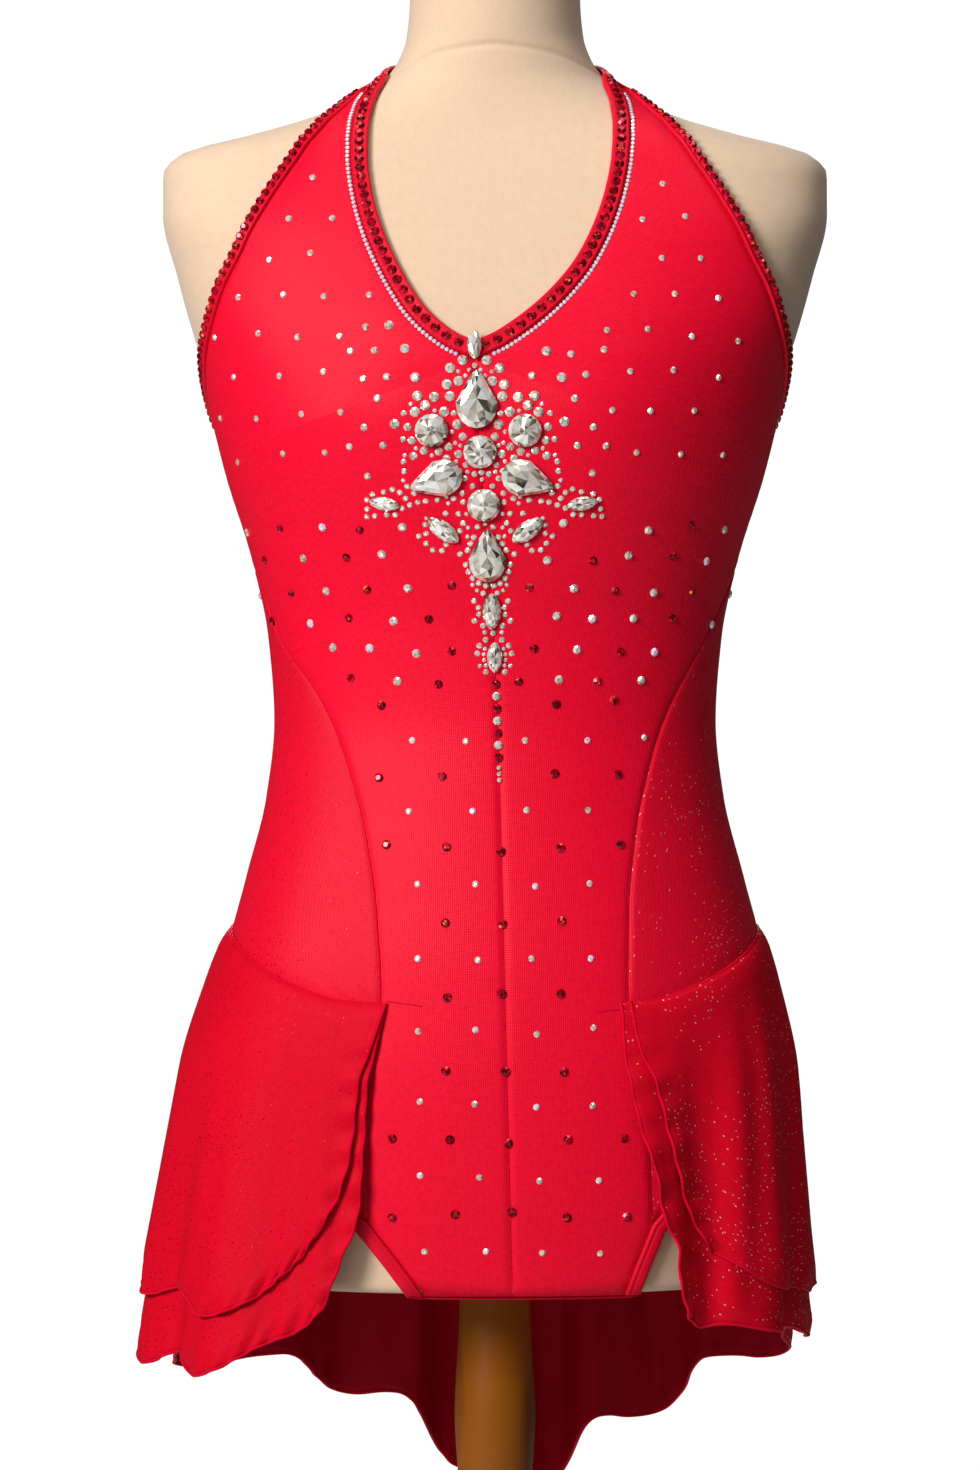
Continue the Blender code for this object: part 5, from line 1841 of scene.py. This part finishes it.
def closed_rings(rings: Array) -> tuple[Array, list]:
    """A closed surface through rings of points, with a hub in the middle of each end.

    Args:
        rings: a grid of points, a level ring in each row.

    Returns:
        The points and the faces.
    """
    rows, around = rings.shape[:2]
    number = np.arange(rows * around).reshape(rows, around)
    following = np.roll(number, -1, axis=1)
    quads = np.stack([number[:-1], following[:-1], following[1:], number[1:]], axis=-1)
    faces = quads.reshape(-1, 4).tolist()
    for hub, ring in enumerate((number[0], number[-1]), rows * around):
        faces += [[int(a), int(b), hub] for a, b in zip(ring, np.roll(ring, -1))]
    hubs = [[0, 0, rings[0, 0, 2]], [0, 0, rings[-1, 0, 2]]]
    return np.vstack([rings.reshape(-1, 3), hubs]), faces


@dataclass
class DressForm:
    """The jersey-covered torso and neck."""

    maker: Maker
    inset: float = 0.9
    segments: int = 160
    ring_step: float = 4.0
    seam_step: float = 0.8
    seam_zone: tuple[float, float] = (586.0, 618.0)
    seam_depth: float = 1.0
    seam_width: float = 1.6
    seam_reach: float = 0.7
    edge: float = 5.0
    edge_rings: tuple[float, ...] = (0.35, 1.0, 2.0, 3.4, 5.0)
    cloth_per_degree: float = 2.0

    def heights(self) -> Array:
        """The heights of its rings, closest where the neck seam is."""
        top, (low, high) = TORSO_SECTIONS[-1].height, self.seam_zone
        return np.concatenate([
            [0.0], self.edge_rings, np.arange(8, low, self.ring_step),
            np.arange(low, high, self.seam_step), np.arange(high, top - self.edge, self.ring_step),
            top - np.array(self.edge_rings[::-1]), [top],
        ])

    def build(self) -> None:
        """Builds the torso's closed mesh with its neck seam."""
        heights = self.heights()
        top = heights[-1]
        turns = np.arange(self.segments) * 360 / self.segments
        marks = np.stack(np.meshgrid(turns, heights), axis=-1)
        seam = curve_of([Place(p.across, p.height) for p in NECK_SEAM], "across")
        around = np.abs((turns + 180) % 360 - 180)
        seam_at = seam(np.minimum(around, 180 - around) * self.seam_reach)
        lift = -self.inset - self.seam_depth * bell(marks[..., 1] - seam_at[None], self.seam_width)
        rings = TORSO.lifted(marks, lift)
        from_end = np.minimum(np.minimum(heights, top - heights), self.edge)
        rounding = self.edge - np.sqrt(self.edge ** 2 - (self.edge - from_end) ** 2)
        radius = np.linalg.norm(rings[..., :2], axis=-1)
        rings[..., :2] *= (1 - rounding[:, None] / radius)[..., None]
        rings[..., 2] = heights[:, None]
        points, faces = closed_rings(rings)
        cloth = (marks * (self.cloth_per_degree, 1)).reshape(-1, 2)
        cloth = np.vstack([cloth, [[0, 0], [0, top]]])
        mesh = self.maker.mesh("dress_form_cover", points, faces, cloth)
        self.maker.piece("dress_form_cover", mesh, Finish.JERSEY, "dress_form")


@dataclass
class Stand:
    """The turned pole and its round base."""

    maker: Maker
    sides: int = 96
    steps: int = 6
    sharp: float = 40.0

    def turned(self, name: str, profile: Sequence[Turned], lift: float, node: str) -> None:
        """A turned piece.

        Args:
            name: the piece's name.
            profile: its radii from the top down.
            lift: the height that the profile's heights start from.
            node: the CAD node that it stands for.
        """
        table = np.array(profile)
        run = run_length(table, 0)
        at = np.unique(np.concatenate([np.linspace(a, b, self.steps) for a, b in zip(run, run[1:])]))
        radius, height = Curve(run, table[:, 0])(at), Curve(run, table[:, 1])(at) + lift
        turn = np.arange(self.sides) * math.tau / self.sides
        x, y = radius[:, None] * np.cos(turn), radius[:, None] * np.sin(turn)
        level = np.broadcast_to(height[:, None] - TORSO.underside, x.shape)
        points, faces = closed_rings(np.stack([x, y, level], axis=-1))
        mesh = self.maker.mesh(name, points, faces)
        mesh.set_sharp_from_angle(angle=math.radians(self.sharp))
        self.maker.piece(name, mesh, Finish.WOOD, node)

    def build(self) -> None:
        """Builds the pole and the base."""
        self.turned("turned_pole", POLE, TORSO.underside, "stand_pole")
        self.turned("turned_base", BASE, 0.0, "stand_base")


NAVETTE_POINT = 0.35
DROP_TAPER = 0.52
DROP_SHOULDER = 0.8
DROP_SINK = 0.12


def stone_outline(stone: Stone, count: int) -> Array:
    """A stone's outline, its point or one end up, as places across and along it."""
    angle = np.arange(count) * math.tau / count
    across, along = np.sin(angle), np.cos(angle)
    if stone.cut is Cut.NAVETTE:
        across = across * np.abs(across) ** NAVETTE_POINT
    if stone.cut is Cut.DROP:
        across = across * (1 - DROP_TAPER * np.maximum(along, 0) ** DROP_SHOULDER)
        along = along - DROP_SINK * (1 - along * along)
    return np.stack([across * stone.width / 2, along * stone.length / 2], axis=-1)


class StoneFrame(NamedTuple):
    """Where a stone sits: its centre and its three directions."""

    centre: Array
    right: Array
    up: Array
    out: Array


def stone_frame(height: float, from_centre: float, lift: float, tilt: float = 0.0) -> StoneFrame:
    """A frame on the front of the bodice.

    Args:
        height: the centre's height.
        from_centre: its distance from the centre front line.
        lift: how far it stands off the torso.
        tilt: degrees turned about the way out.

    Returns:
        The frame.
    """
    mark = TORSO.on_front(height, from_centre)
    out = TORSO.normal(mark[0], mark[1])
    right = unit(-np.cross((0, 0, 1), out))
    up = -np.cross(out, right)
    cosine, sine = math.cos(math.radians(tilt)), math.sin(math.radians(tilt))
    turned_right, turned_up = right * cosine + up * sine, up * cosine - right * sine
    return StoneFrame(TORSO.point(mark[0], mark[1]) + out * lift, turned_right, turned_up, out)


@dataclass
class Pendant:
    """The large set stones."""

    maker: Maker
    bodice: Bodice
    points: int = 16
    depth_share: float = 0.24
    extra_depth: float = 1.0
    most_depth: float = 5.0
    girdle: float = 0.35
    gap: float = 0.6
    on_binding: float = 10.0
    cloth_wall: float = 1.5
    seed: int = 11

    def cut_stone(self, name: str, stone: Stone, side: int, tones: np.random.Generator) -> None:
        """One faceted stone.

        Args:
            name: the CAD node's name.
            stone: its cut and place.
            side: -1 or 1, for the one of a pair.
            tones: gives each facet its tone.
        """
        depth = min(stone.width * self.depth_share + self.extra_depth, self.most_depth)
        wall = self.bodice.binding_wall if stone.down < self.on_binding else self.cloth_wall
        lift = self.bodice.gap + wall + self.gap
        place = NECKLINE_POINT - stone.down, side * stone.across
        frame = stone_frame(*place, lift, side * stone.tilt)
        outline = stone_outline(stone, self.points)
        midway = (outline + np.roll(outline, -1, axis=0)) / 2
        centre = outline[:1] * 0
        share, peak = (0.3, 1.0) if stone.cut is Cut.DISC else (0.5, 0.95)
        rings = [
            (outline * 0.9, 0.0), (outline, self.girdle * 0.7), (outline, self.girdle),
            (midway * 0.82, 0.72), (outline[::2] * share, 0.94), (centre, peak), (centre, 0.0),
        ]
        points = np.vstack([
            frame.centre + flat[:, :1] * frame.right + flat[:, 1:] * frame.up
            + frame.out * depth * level
            for flat, level in rings
        ])
        n, half = self.points, self.points // 2
        girdle, crown, table = 2 * n, 3 * n, 4 * n
        faces: list = []
        for i in range(n):
            k = (i + 1) % n
            faces.append([len(points) - 1, i, k])
            faces += [[low + i, low + k, low + n + k, low + n + i] for low in (0, n)]
            faces += [[girdle + i, girdle + k, crown + i], [girdle + k, crown + k, crown + i]]
        for i in range(half):
            k = (i + 1) % half
            mid = crown + 2 * i
            faces += [[mid, mid + 1, table + k], [mid, table + k, table + i]]
            faces.append([crown + (2 * i - 1) % n, mid, table + i])
            faces.append([table + i, table + k, len(points) - 2])
        # Each facet's random tone becomes its painted reflection in the crystal finish.
        facets = tones.beta(1.1, 0.9, len(faces)).astype(np.float32)
        mesh = self.maker.mesh(f"{name}_cut", points, faces, facets=facets, smooth=False)
        self.maker.piece(f"{name}_cut", mesh, Finish.CLEAR, name)

    def build(self) -> None:
        """Cuts every large stone."""
        tones = np.random.default_rng(self.seed)
        for stone in LARGE_STONES:
            for side, word in ((-1, "_left"), (1, "_right")):
                if stone.across:
                    self.cut_stone(stone.node + word, stone, side, tones)
                elif side > 0:
                    self.cut_stone(stone.node, stone, side, tones)


class SetStone(NamedTuple):
    """A small stone: its place, the way that it faces and its diameter."""

    place: Array
    out: Array
    diameter: float


class Band(NamedTuple):
    """Staggered rows of scattered stones, down from a place above the neckline's point."""

    kind: str
    top: float
    step: float
    pitch: float
    first: int
    count: int


SCATTER = rows_of(
    Band,
    ("clear", 4, 19.0, 21.0, -7, 11),
    ("near", 6, 11.5, 13.5, 0, 8),
    ("mixed", -88, 15.0, 19.5, 0, 6),
    ("low", -174, 17.6, 28.0, 0, 17),
)


class Run(NamedTuple):
    """Stones down the centre seam, whose finishes take turns."""

    finishes: tuple[Finish, ...]
    count: int
    top: float
    pitch: float
    size: float


CENTRE_LINE = rows_of(
    Run,
    ((Finish.SIAM, Finish.CLEAR), 7, -164.5, 6.0, 4.3),
    ((Finish.CLEAR,), 3, -205.5, 3.0, 2.3),
)


@dataclass
class SmallStones:
    """The rows, the halos and the scatter of small stones."""

    maker: Maker
    bodice: Bodice
    neckline_size: float = 4.9
    neckline_pitch: float = 5.0
    neckline_spread: float = 1.9
    spread_run: float = 70.0
    armhole_size: float = 4.2
    armhole_pitch: float = 5.0
    chain_size: float = 2.15
    chain_pitch: float = 2.4
    chain_away: float = 1.4
    chain_start: int = 6
    outline_points: int = 48
    fill_sizes: tuple[float, ...] = (5.0, 4.0, 2.9, 2.1)
    fill_gap: float = 0.6
    fill_reach: float = 5.0
    fill_zone: tuple[tuple[float, float], ...] = ((0, -160), (58, -8))
    fill_top: float = -9.0
    heart_low: float = -72.0
    heart_rise: float = 30.0
    heart_side: float = 40.0
    heart_fall: float = 10.0
    outer_size: float = 3.0
    heart_size: float = 2.0
    tiny: float = 2.5
    ring_gap: float = 0.7
    clearance: float = 0.45
    stone_room: float = 0.3
    wing: float = 34.0
    apart: float = 8.5
    halo_room: float = 4.0
    edge_room: float = 7.0
    lowest: float = 12.0
    armhole_room: float = 6.0
    side_reach: float = 132.0
    jitter: float = 1.8
    near_zone: tuple[float, float, float] = (62.0, -78.0, 12.0)
    near_heart: float = 46.0
    small_size: float = 3.3
    middle_size: float = 3.6
    mixed_size: float = 4.4
    deep_size: float = 4.7
    near_size: float = 4.8
    chain_turn: float = 1.6
    neck_top: float = -4.0
    line_zone: tuple[float, float, float] = (8.0, -226.0, -160.0)
    columns: int = 9
    tries: int = 3000
    seed: int = 23
    taken: list[tuple[float, float, float]] = field(default_factory=list)

    def row(
        self, marks: Array, lift: float, pitch: float, diameter: float, spread: float = 0.0
    ) -> list[SetStone]:
        """Stones in a row along a chart line.

        Args:
            marks: the chart line.
            lift: how far the stones' backs stand off the torso.
            pitch: the distance from one to the next.
            diameter: their size.
            spread: how much wider apart they are in the middle of the line.

        Returns:
            The stones.
        """
        run = run_length(TORSO.lifted(marks, lift), 0)
        middle = bell((run[1:] + run[:-1] - run[-1]) / 2, self.spread_run)
        wanted = np.concatenate([[0.0], np.cumsum(np.diff(run) / (pitch + spread * middle))])
        at = np.arange(0.5, wanted[-1])
        line = read_at(marks, wanted, at)
        places = zip(TORSO.lifted(line, lift), TORSO.normal(line[:, 0], line[:, 1]))
        return [SetStone(place, out, diameter) for place, out in places]

    def small_stone(self, across: float, up: float, diameter: float) -> SetStone:
        """A small stone on the front, across and up from the neckline's point."""
        lift = self.bodice.gap + self.bodice.wall
        frame = stone_frame(NECKLINE_POINT + up, across, lift)
        return SetStone(frame.centre, frame.out, diameter)

    def place_piece(self, name: str, stones: list[SetStone], finish: Finish) -> None:
        """Sets a list of stones as one piece."""
        mesh = bpy.data.meshes.new(name)
        mesh.from_pydata(self.maker.placed([stone.place for stone in stones]), [], [])
        outs = np.array([stone.out for stone in stones], np.float32).ravel()
        mesh.attributes.new("out", "FLOAT_VECTOR", "POINT").data.foreach_set("vector", outs)
        sizes = np.array([stone.diameter / 2 for stone in stones], np.float32) * MM
        mesh.attributes.new("size", "FLOAT", "POINT").data.foreach_set("value", sizes)
        # Small clear stones get a facet tone no lower than 0.3, which keeps their painted reflections
        # light.
        seed, dullest = self.seed + len(stones), 0.3 if finish is Finish.CLEAR else 0.0
        mesh = self.maker.applied(mesh, self.maker.trees.stones, finish, Seed=seed, Dullest=dullest)
        self.maker.piece(name, mesh, finish)

    def build_edges(self) -> None:
        """Deep red rows on the neckline and armhole bindings, and the fine clear chain."""
        cut = self.bodice
        neckline, armhole = (cut.gap + cut.binding_wall * level for level in (0.86, 0.94))
        line = cut.neckline_at(cut.neckline_width * 0.5)
        neck = self.row(
            line, neckline, self.neckline_pitch, self.neckline_size, self.neckline_spread
        )
        arms, chain = [], []
        for side in (-1, 1):
            line = cut.armhole_at(side, cut.armhole_width * 0.3)
            arms += self.row(line, armhole, self.armhole_pitch, self.armhole_size)
        middle = cut.steps["neckline"]
        line = cut.neckline_at(cut.neckline_width + self.chain_away)
        first = self.chain_start
        for half in (line[first: middle - 1], line[middle + 2: -first]):
            chain += self.row(half, cut.gap + cut.wall, self.chain_pitch, self.chain_size)
        self.place_piece("stones_neckline", neck, Finish.SIAM)
        self.place_piece("stones_armholes", arms, Finish.SIAM)
        self.place_piece("stones_chain", chain, Finish.IRIS)

    def read_outlines(self) -> None:
        """Lays out the outlines of the large stones, across and up from the neckline's point."""
        self.outlines, self.rings = [], []
        for stone in LARGE_STONES:
            for side in (-1, 1) if stone.across else (1,):
                turn = math.radians(stone.tilt * side)
                flat = stone_outline(stone, self.outline_points)
                x = flat[:, 0] * math.cos(turn) - flat[:, 1] * math.sin(turn) + side * stone.across
                y = flat[:, 0] * math.sin(turn) + flat[:, 1] * math.cos(turn) - stone.down
                self.outlines.append(np.stack([x, y], axis=-1))
                if stone.halo:
                    self.rings.append((self.outlines[-1], stone.halo))

    def ring_spots(self, outline: Array, diameter: float) -> Array:
        """Spots for a ring of small stones round a large one."""
        away = outline - outline.mean(axis=0)
        line = outline + unit(away) * (diameter / 2 + self.clearance)
        line = np.vstack([line, line[:1]])
        run = run_length(line, 0)
        count = max(6, 2 * round(run[-1] / (diameter + self.ring_gap) / 2))
        return read_at(line, run, (np.arange(count) + 0.5) * run[-1] / count)

    def build_halos(self) -> None:
        """Small stones round and between the large ones, the same on both sides."""
        self.read_outlines()
        edges = np.vstack(self.outlines)
        chance = np.random.default_rng(self.seed)
        free = chance.uniform(*self.fill_zone, (self.tries, 2))
        free = free[~np.any([inside(free, outline) for outline in self.outlines], axis=0)]
        free = free[np.argsort(clear_of(free, edges))]
        wanted = [(self.ring_spots(ring, size), size, self.clearance) for ring, size in self.rings]
        wanted += [(free, size, self.fill_gap) for size in self.fill_sizes]
        lists = {Finish.CLEAR: [], Finish.IRIS: []}
        for spots, size, gap in wanted:
            for (x, y), room in zip(spots, clear_of(spots, edges)):
                heart = eased((y - self.heart_low) / self.heart_rise)
                heart = heart * eased((self.heart_side - abs(x)) / self.heart_fall)
                if not size / 2 + self.stone_room <= room <= self.fill_reach * (1 + heart):
                    continue
                if y > self.fill_top or size > self.outer_size + self.heart_size * heart:
                    continue
                if spots is free and abs(x) < size / 2 + self.stone_room:
                    x = 0.0
                near = [math.hypot(x - a, y - b) - r for a, b, r in self.taken]
                if near and min(near) < size / 2 + gap:
                    continue
                for across in (x, -x) if spots is free and x else (x,):
                    self.taken.append((across, y, size / 2))
                    outer = abs(across) > self.wing or len(self.taken) % 3 == 0
                    finish = Finish.IRIS if outer and size < self.tiny else Finish.CLEAR
                    lists[finish].append(self.small_stone(across, y, size))
        self.place_piece("stones_halo_clear", lists[Finish.CLEAR], Finish.CLEAR)
        self.place_piece("stones_halo_rainbow", lists[Finish.IRIS], Finish.IRIS)

    def scattered(self, kind: str, across: float, up: float, mark: int, turn: int) -> tuple | None:
        """The finish and the size of a scattered stone.

        Args:
            kind: its band's kind.
            across: its place to the side of the centre line.
            up: its place above the neckline's point.
            mark: its column's and its row's number added up.
            turn: three times its column's number, with its row's added.

        Returns:
            The finish and the size, or None where the band has no stone.
        """
        reach, low, high = self.near_zone
        is_near = abs(across) < reach and low < up < high
        if kind in ("clear", "near") and is_near == (kind == "clear"):
            return None
        if kind == "near":
            large = abs(across) < self.near_heart and mark % 5
            return Finish.CLEAR, self.near_size if large else self.middle_size
        if kind == "mixed":
            finish = (Finish.SIAM, Finish.CLEAR)[mark % 2]
            return Finish.IRIS if turn % 7 == 0 else finish, self.mixed_size
        if kind == "deep":
            return Finish.SIAM, self.deep_size
        return Finish.IRIS if kind == "small" and mark % 3 == 0 else Finish.CLEAR, self.small_size

    def scatter_spots(self) -> list[tuple[float, float, Finish, float]]:
        """Staggered rows down the front: clear ones, then mixed, then deep red and small clear.

        Returns:
            Each spot's place across and up, its finish and its size.
        """
        spots, number = [], 0
        for band in SCATTER:
            for i in range(band.first, band.first + band.count):
                kind = ("deep", "small")[i % 2] if band.kind == "low" else band.kind
                for column in range(-self.columns, self.columns + 1):
                    across, up = (column + i % 2 / 2) * band.pitch, band.top - band.step * i
                    look = self.scattered(kind, across, up, column + number, column * 3 + number)
                    if look:
                        spots.append((across, up, *look))
                number += 1
        return spots

    def is_free(self, across: float, up: float, neck: Array, placed: list[tuple]) -> bool:
        """Whether a scattered stone has room on the front panels.

        Args:
            across: its place to the side of the centre line.
            up: its place above the neckline's point.
            neck: the chart line of the chain below the neckline.
            placed: the places of the scattered stones before it.

        Returns:
            True where nothing is in its way.
        """
        height = NECKLINE_POINT + up
        if abs(across) > self.front_reach(height) - self.edge_room or height < self.lowest:
            return False
        mark = TORSO.on_front(height, across)
        if np.linalg.norm((neck - mark) * (self.chain_turn, 1), axis=1).min() < self.edge_room:
            return False
        if up > self.neck_top and mark[1] > neck[np.argmin(np.abs(neck[:, 0] - mark[0])), 1]:
            return False
        if any(math.hypot(across - x, up - y) < r + self.halo_room for x, y, r in self.taken):
            return False
        if any(math.hypot(across - x, up - y) < self.apart for x, y in placed):
            return False
        spot = np.array([[across, up]])
        if any(inside(spot, outline)[0] for outline in self.outlines):
            return False
        room, low, high = self.line_zone
        return not (low < up < high and abs(across) < room)

    def build_scatter(self) -> None:
        """Sets the scattered stones and the line down the centre seam."""
        chance = np.random.default_rng(self.seed)
        words = {Finish.CLEAR: "clear", Finish.SIAM: "deep_red", Finish.IRIS: "rainbow"}
        lists = {finish: [] for finish in words}
        placed: list[tuple[float, float]] = []
        neck = self.bodice.neckline_at(self.bodice.neckline_width + self.chain_away)
        for across, up, finish, size in self.scatter_spots():
            across += chance.uniform(-self.jitter, self.jitter)
            up += chance.uniform(-self.jitter, self.jitter)
            if self.is_free(across, up, neck, placed):
                placed.append((across, up))
                lists[finish].append(self.small_stone(across, up, size))
        for run in CENTRE_LINE:
            for i in range(run.count):
                finish = run.finishes[i % len(run.finishes)]
                lists[finish].append(self.small_stone(0.0, run.top - run.pitch * i, run.size))
        for finish, word in words.items():
            self.place_piece(f"stones_scatter_{word}", lists[finish], finish)

    def front_reach(self, height: float) -> float:
        """How far the front panels reach from the centre line at a height."""
        if height < PRINCESS_FRONT[-1].height:
            return float(curve_of(PRINCESS_FRONT, "across")(height))
        edge = np.array(ARMHOLE_FRONT)[::-1]
        turn = np.interp(height, edge[:, 1], edge[:, 0])
        if height > edge[0, 1]:
            return float(TORSO.point(turn, height)[0]) - self.armhole_room
        return self.side_reach

    def build(self) -> None:
        """Sets every small stone."""
        self.build_edges()
        self.build_halos()
        self.build_scatter()


def clear_of(spots: Array, edges: Array) -> Array:
    """How far each spot is from the nearest of some places."""
    return np.linalg.norm(spots[:, None] - edges[None], axis=2).min(axis=1)


def inside(spots: Array, outline: Array) -> Array:
    """Which of some spots are inside a closed outline."""
    x, y = spots[:, :1], spots[:, 1:]
    following = np.roll(outline, -1, axis=0)
    crosses = (outline[:, 1] > y) != (following[:, 1] > y)
    run = following[:, 1] - outline[:, 1]
    run = np.where(np.abs(run) < 1e-9, 1e-9, run)
    at = outline[:, 0] + (y - outline[:, 1]) / run * (following[:, 0] - outline[:, 0])
    return np.sum(crosses & (x < at), axis=1) % 2 == 1


class Lamp(NamedTuple):
    """A square soft light: where it is and what it faces in metres, its side and its watts."""

    name: str
    place: tuple[float, float, float]
    aim: tuple[float, float, float]
    size: float
    watts: float


LAMPS = rows_of(
    Lamp,
    ("key", (-1.98, -2.5, 2.2), (0, 0, 1.0), 1.2, 127),
    ("front", (-0.7, -2.9, 1.9), (0, 0, 1.0), 1.4, 8),
    ("top", (0.1, -0.5, 3.2), (0, 0, 1.2), 1.4, 20),
    ("back", (0.0, 3.2, 1.9), (0, 0, 1.0), 1.4, 26),
)


@dataclass
class Studio:
    """The floor, the lights and the camera."""

    camera_place: tuple[float, float, float] = (-0.0025, -2.4, 0.951)
    lens: float = 117.55
    floor_reach: float = 2.8

    def linked(self, name: str, data: bpy.types.ID) -> Object:
        """A new object in the scene."""
        made = bpy.data.objects.new(name, data)
        bpy.context.scene.collection.objects.link(made)
        return made

    def build_lights(self) -> None:
        """The soft lights."""
        for lamp in LAMPS:
            light = bpy.data.lights.new(lamp.name, "AREA")
            light.size, light.energy = lamp.size, lamp.watts
            made = self.linked(lamp.name, light)
            made.location = lamp.place
            way = Vector(lamp.aim) - Vector(lamp.place)
            made.rotation_euler = way.to_track_quat("-Z", "Y").to_euler()

    def build_floor(self) -> None:
        """A plain pale floor."""
        mesh = bpy.data.meshes.new("floor")
        half = self.floor_reach
        corners = [(-half, -half, 0), (half, -half, 0), (half, half, 0), (-half, half, 0)]
        mesh.from_pydata(corners, [], [(0, 1, 2, 3)])
        material, nodes, shader = new_material("pale_floor")
        nodes.feed(shader, {"Base Color": (0.55, 0.55, 0.55, 1), "Roughness": 0.7})
        mesh.materials.append(material)
        self.linked("floor", mesh)

    def build_world(self) -> None:
        """Even white surroundings, bright behind the object and dim as light."""
        world = bpy.data.worlds.new("studio")
        bpy.context.scene.world = world
        world.use_nodes = True
        world.node_tree.nodes.clear()
        nodes = Nodes(world.node_tree)
        seen, light = (
            nodes.add("ShaderNodeBackground", {"Color": color, "Strength": strength})[0]
            for color, strength in (((1, 1, 1, 1), 1.05), ((1, 0.97, 0.95, 1), 0.05))
        )
        is_seen = nodes.add("ShaderNodeLightPath")["Is Camera Ray"]
        mixed = nodes.add("ShaderNodeMixShader", {0: is_seen, 1: light, 2: seen})[0]
        nodes.add("ShaderNodeOutputWorld", {"Surface": mixed})

    def build_camera(self) -> None:
        """A level camera at the photograph's distance."""
        camera = bpy.data.cameras.new("camera")
        camera.lens = self.lens
        eye = self.linked("camera", camera)
        eye.location = self.camera_place
        eye.rotation_euler = (math.radians(90), 0, 0)
        bpy.context.scene.camera = eye

    def build(self) -> None:
        """Builds the studio."""
        bpy.context.scene.view_settings.view_transform = "Standard"
        self.build_floor()
        self.build_world()
        self.build_camera()
        self.build_lights()


def main() -> None:
    """Dresses the frame with every piece."""
    logging.basicConfig(level=logging.INFO, format="%(name)s: %(message)s")
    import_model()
    maker = Maker()
    bodice = Bodice()
    garment = Garment(maker, bodice)
    DressForm(maker).build()
    Stand(maker).build()
    garment.build()
    Skirt(maker, garment).build()
    Pendant(maker, bodice).build()
    SmallStones(maker, bodice).build()
    Studio().build()
    LOG.info("sizes written")


if __name__ == "__main__":
    main()
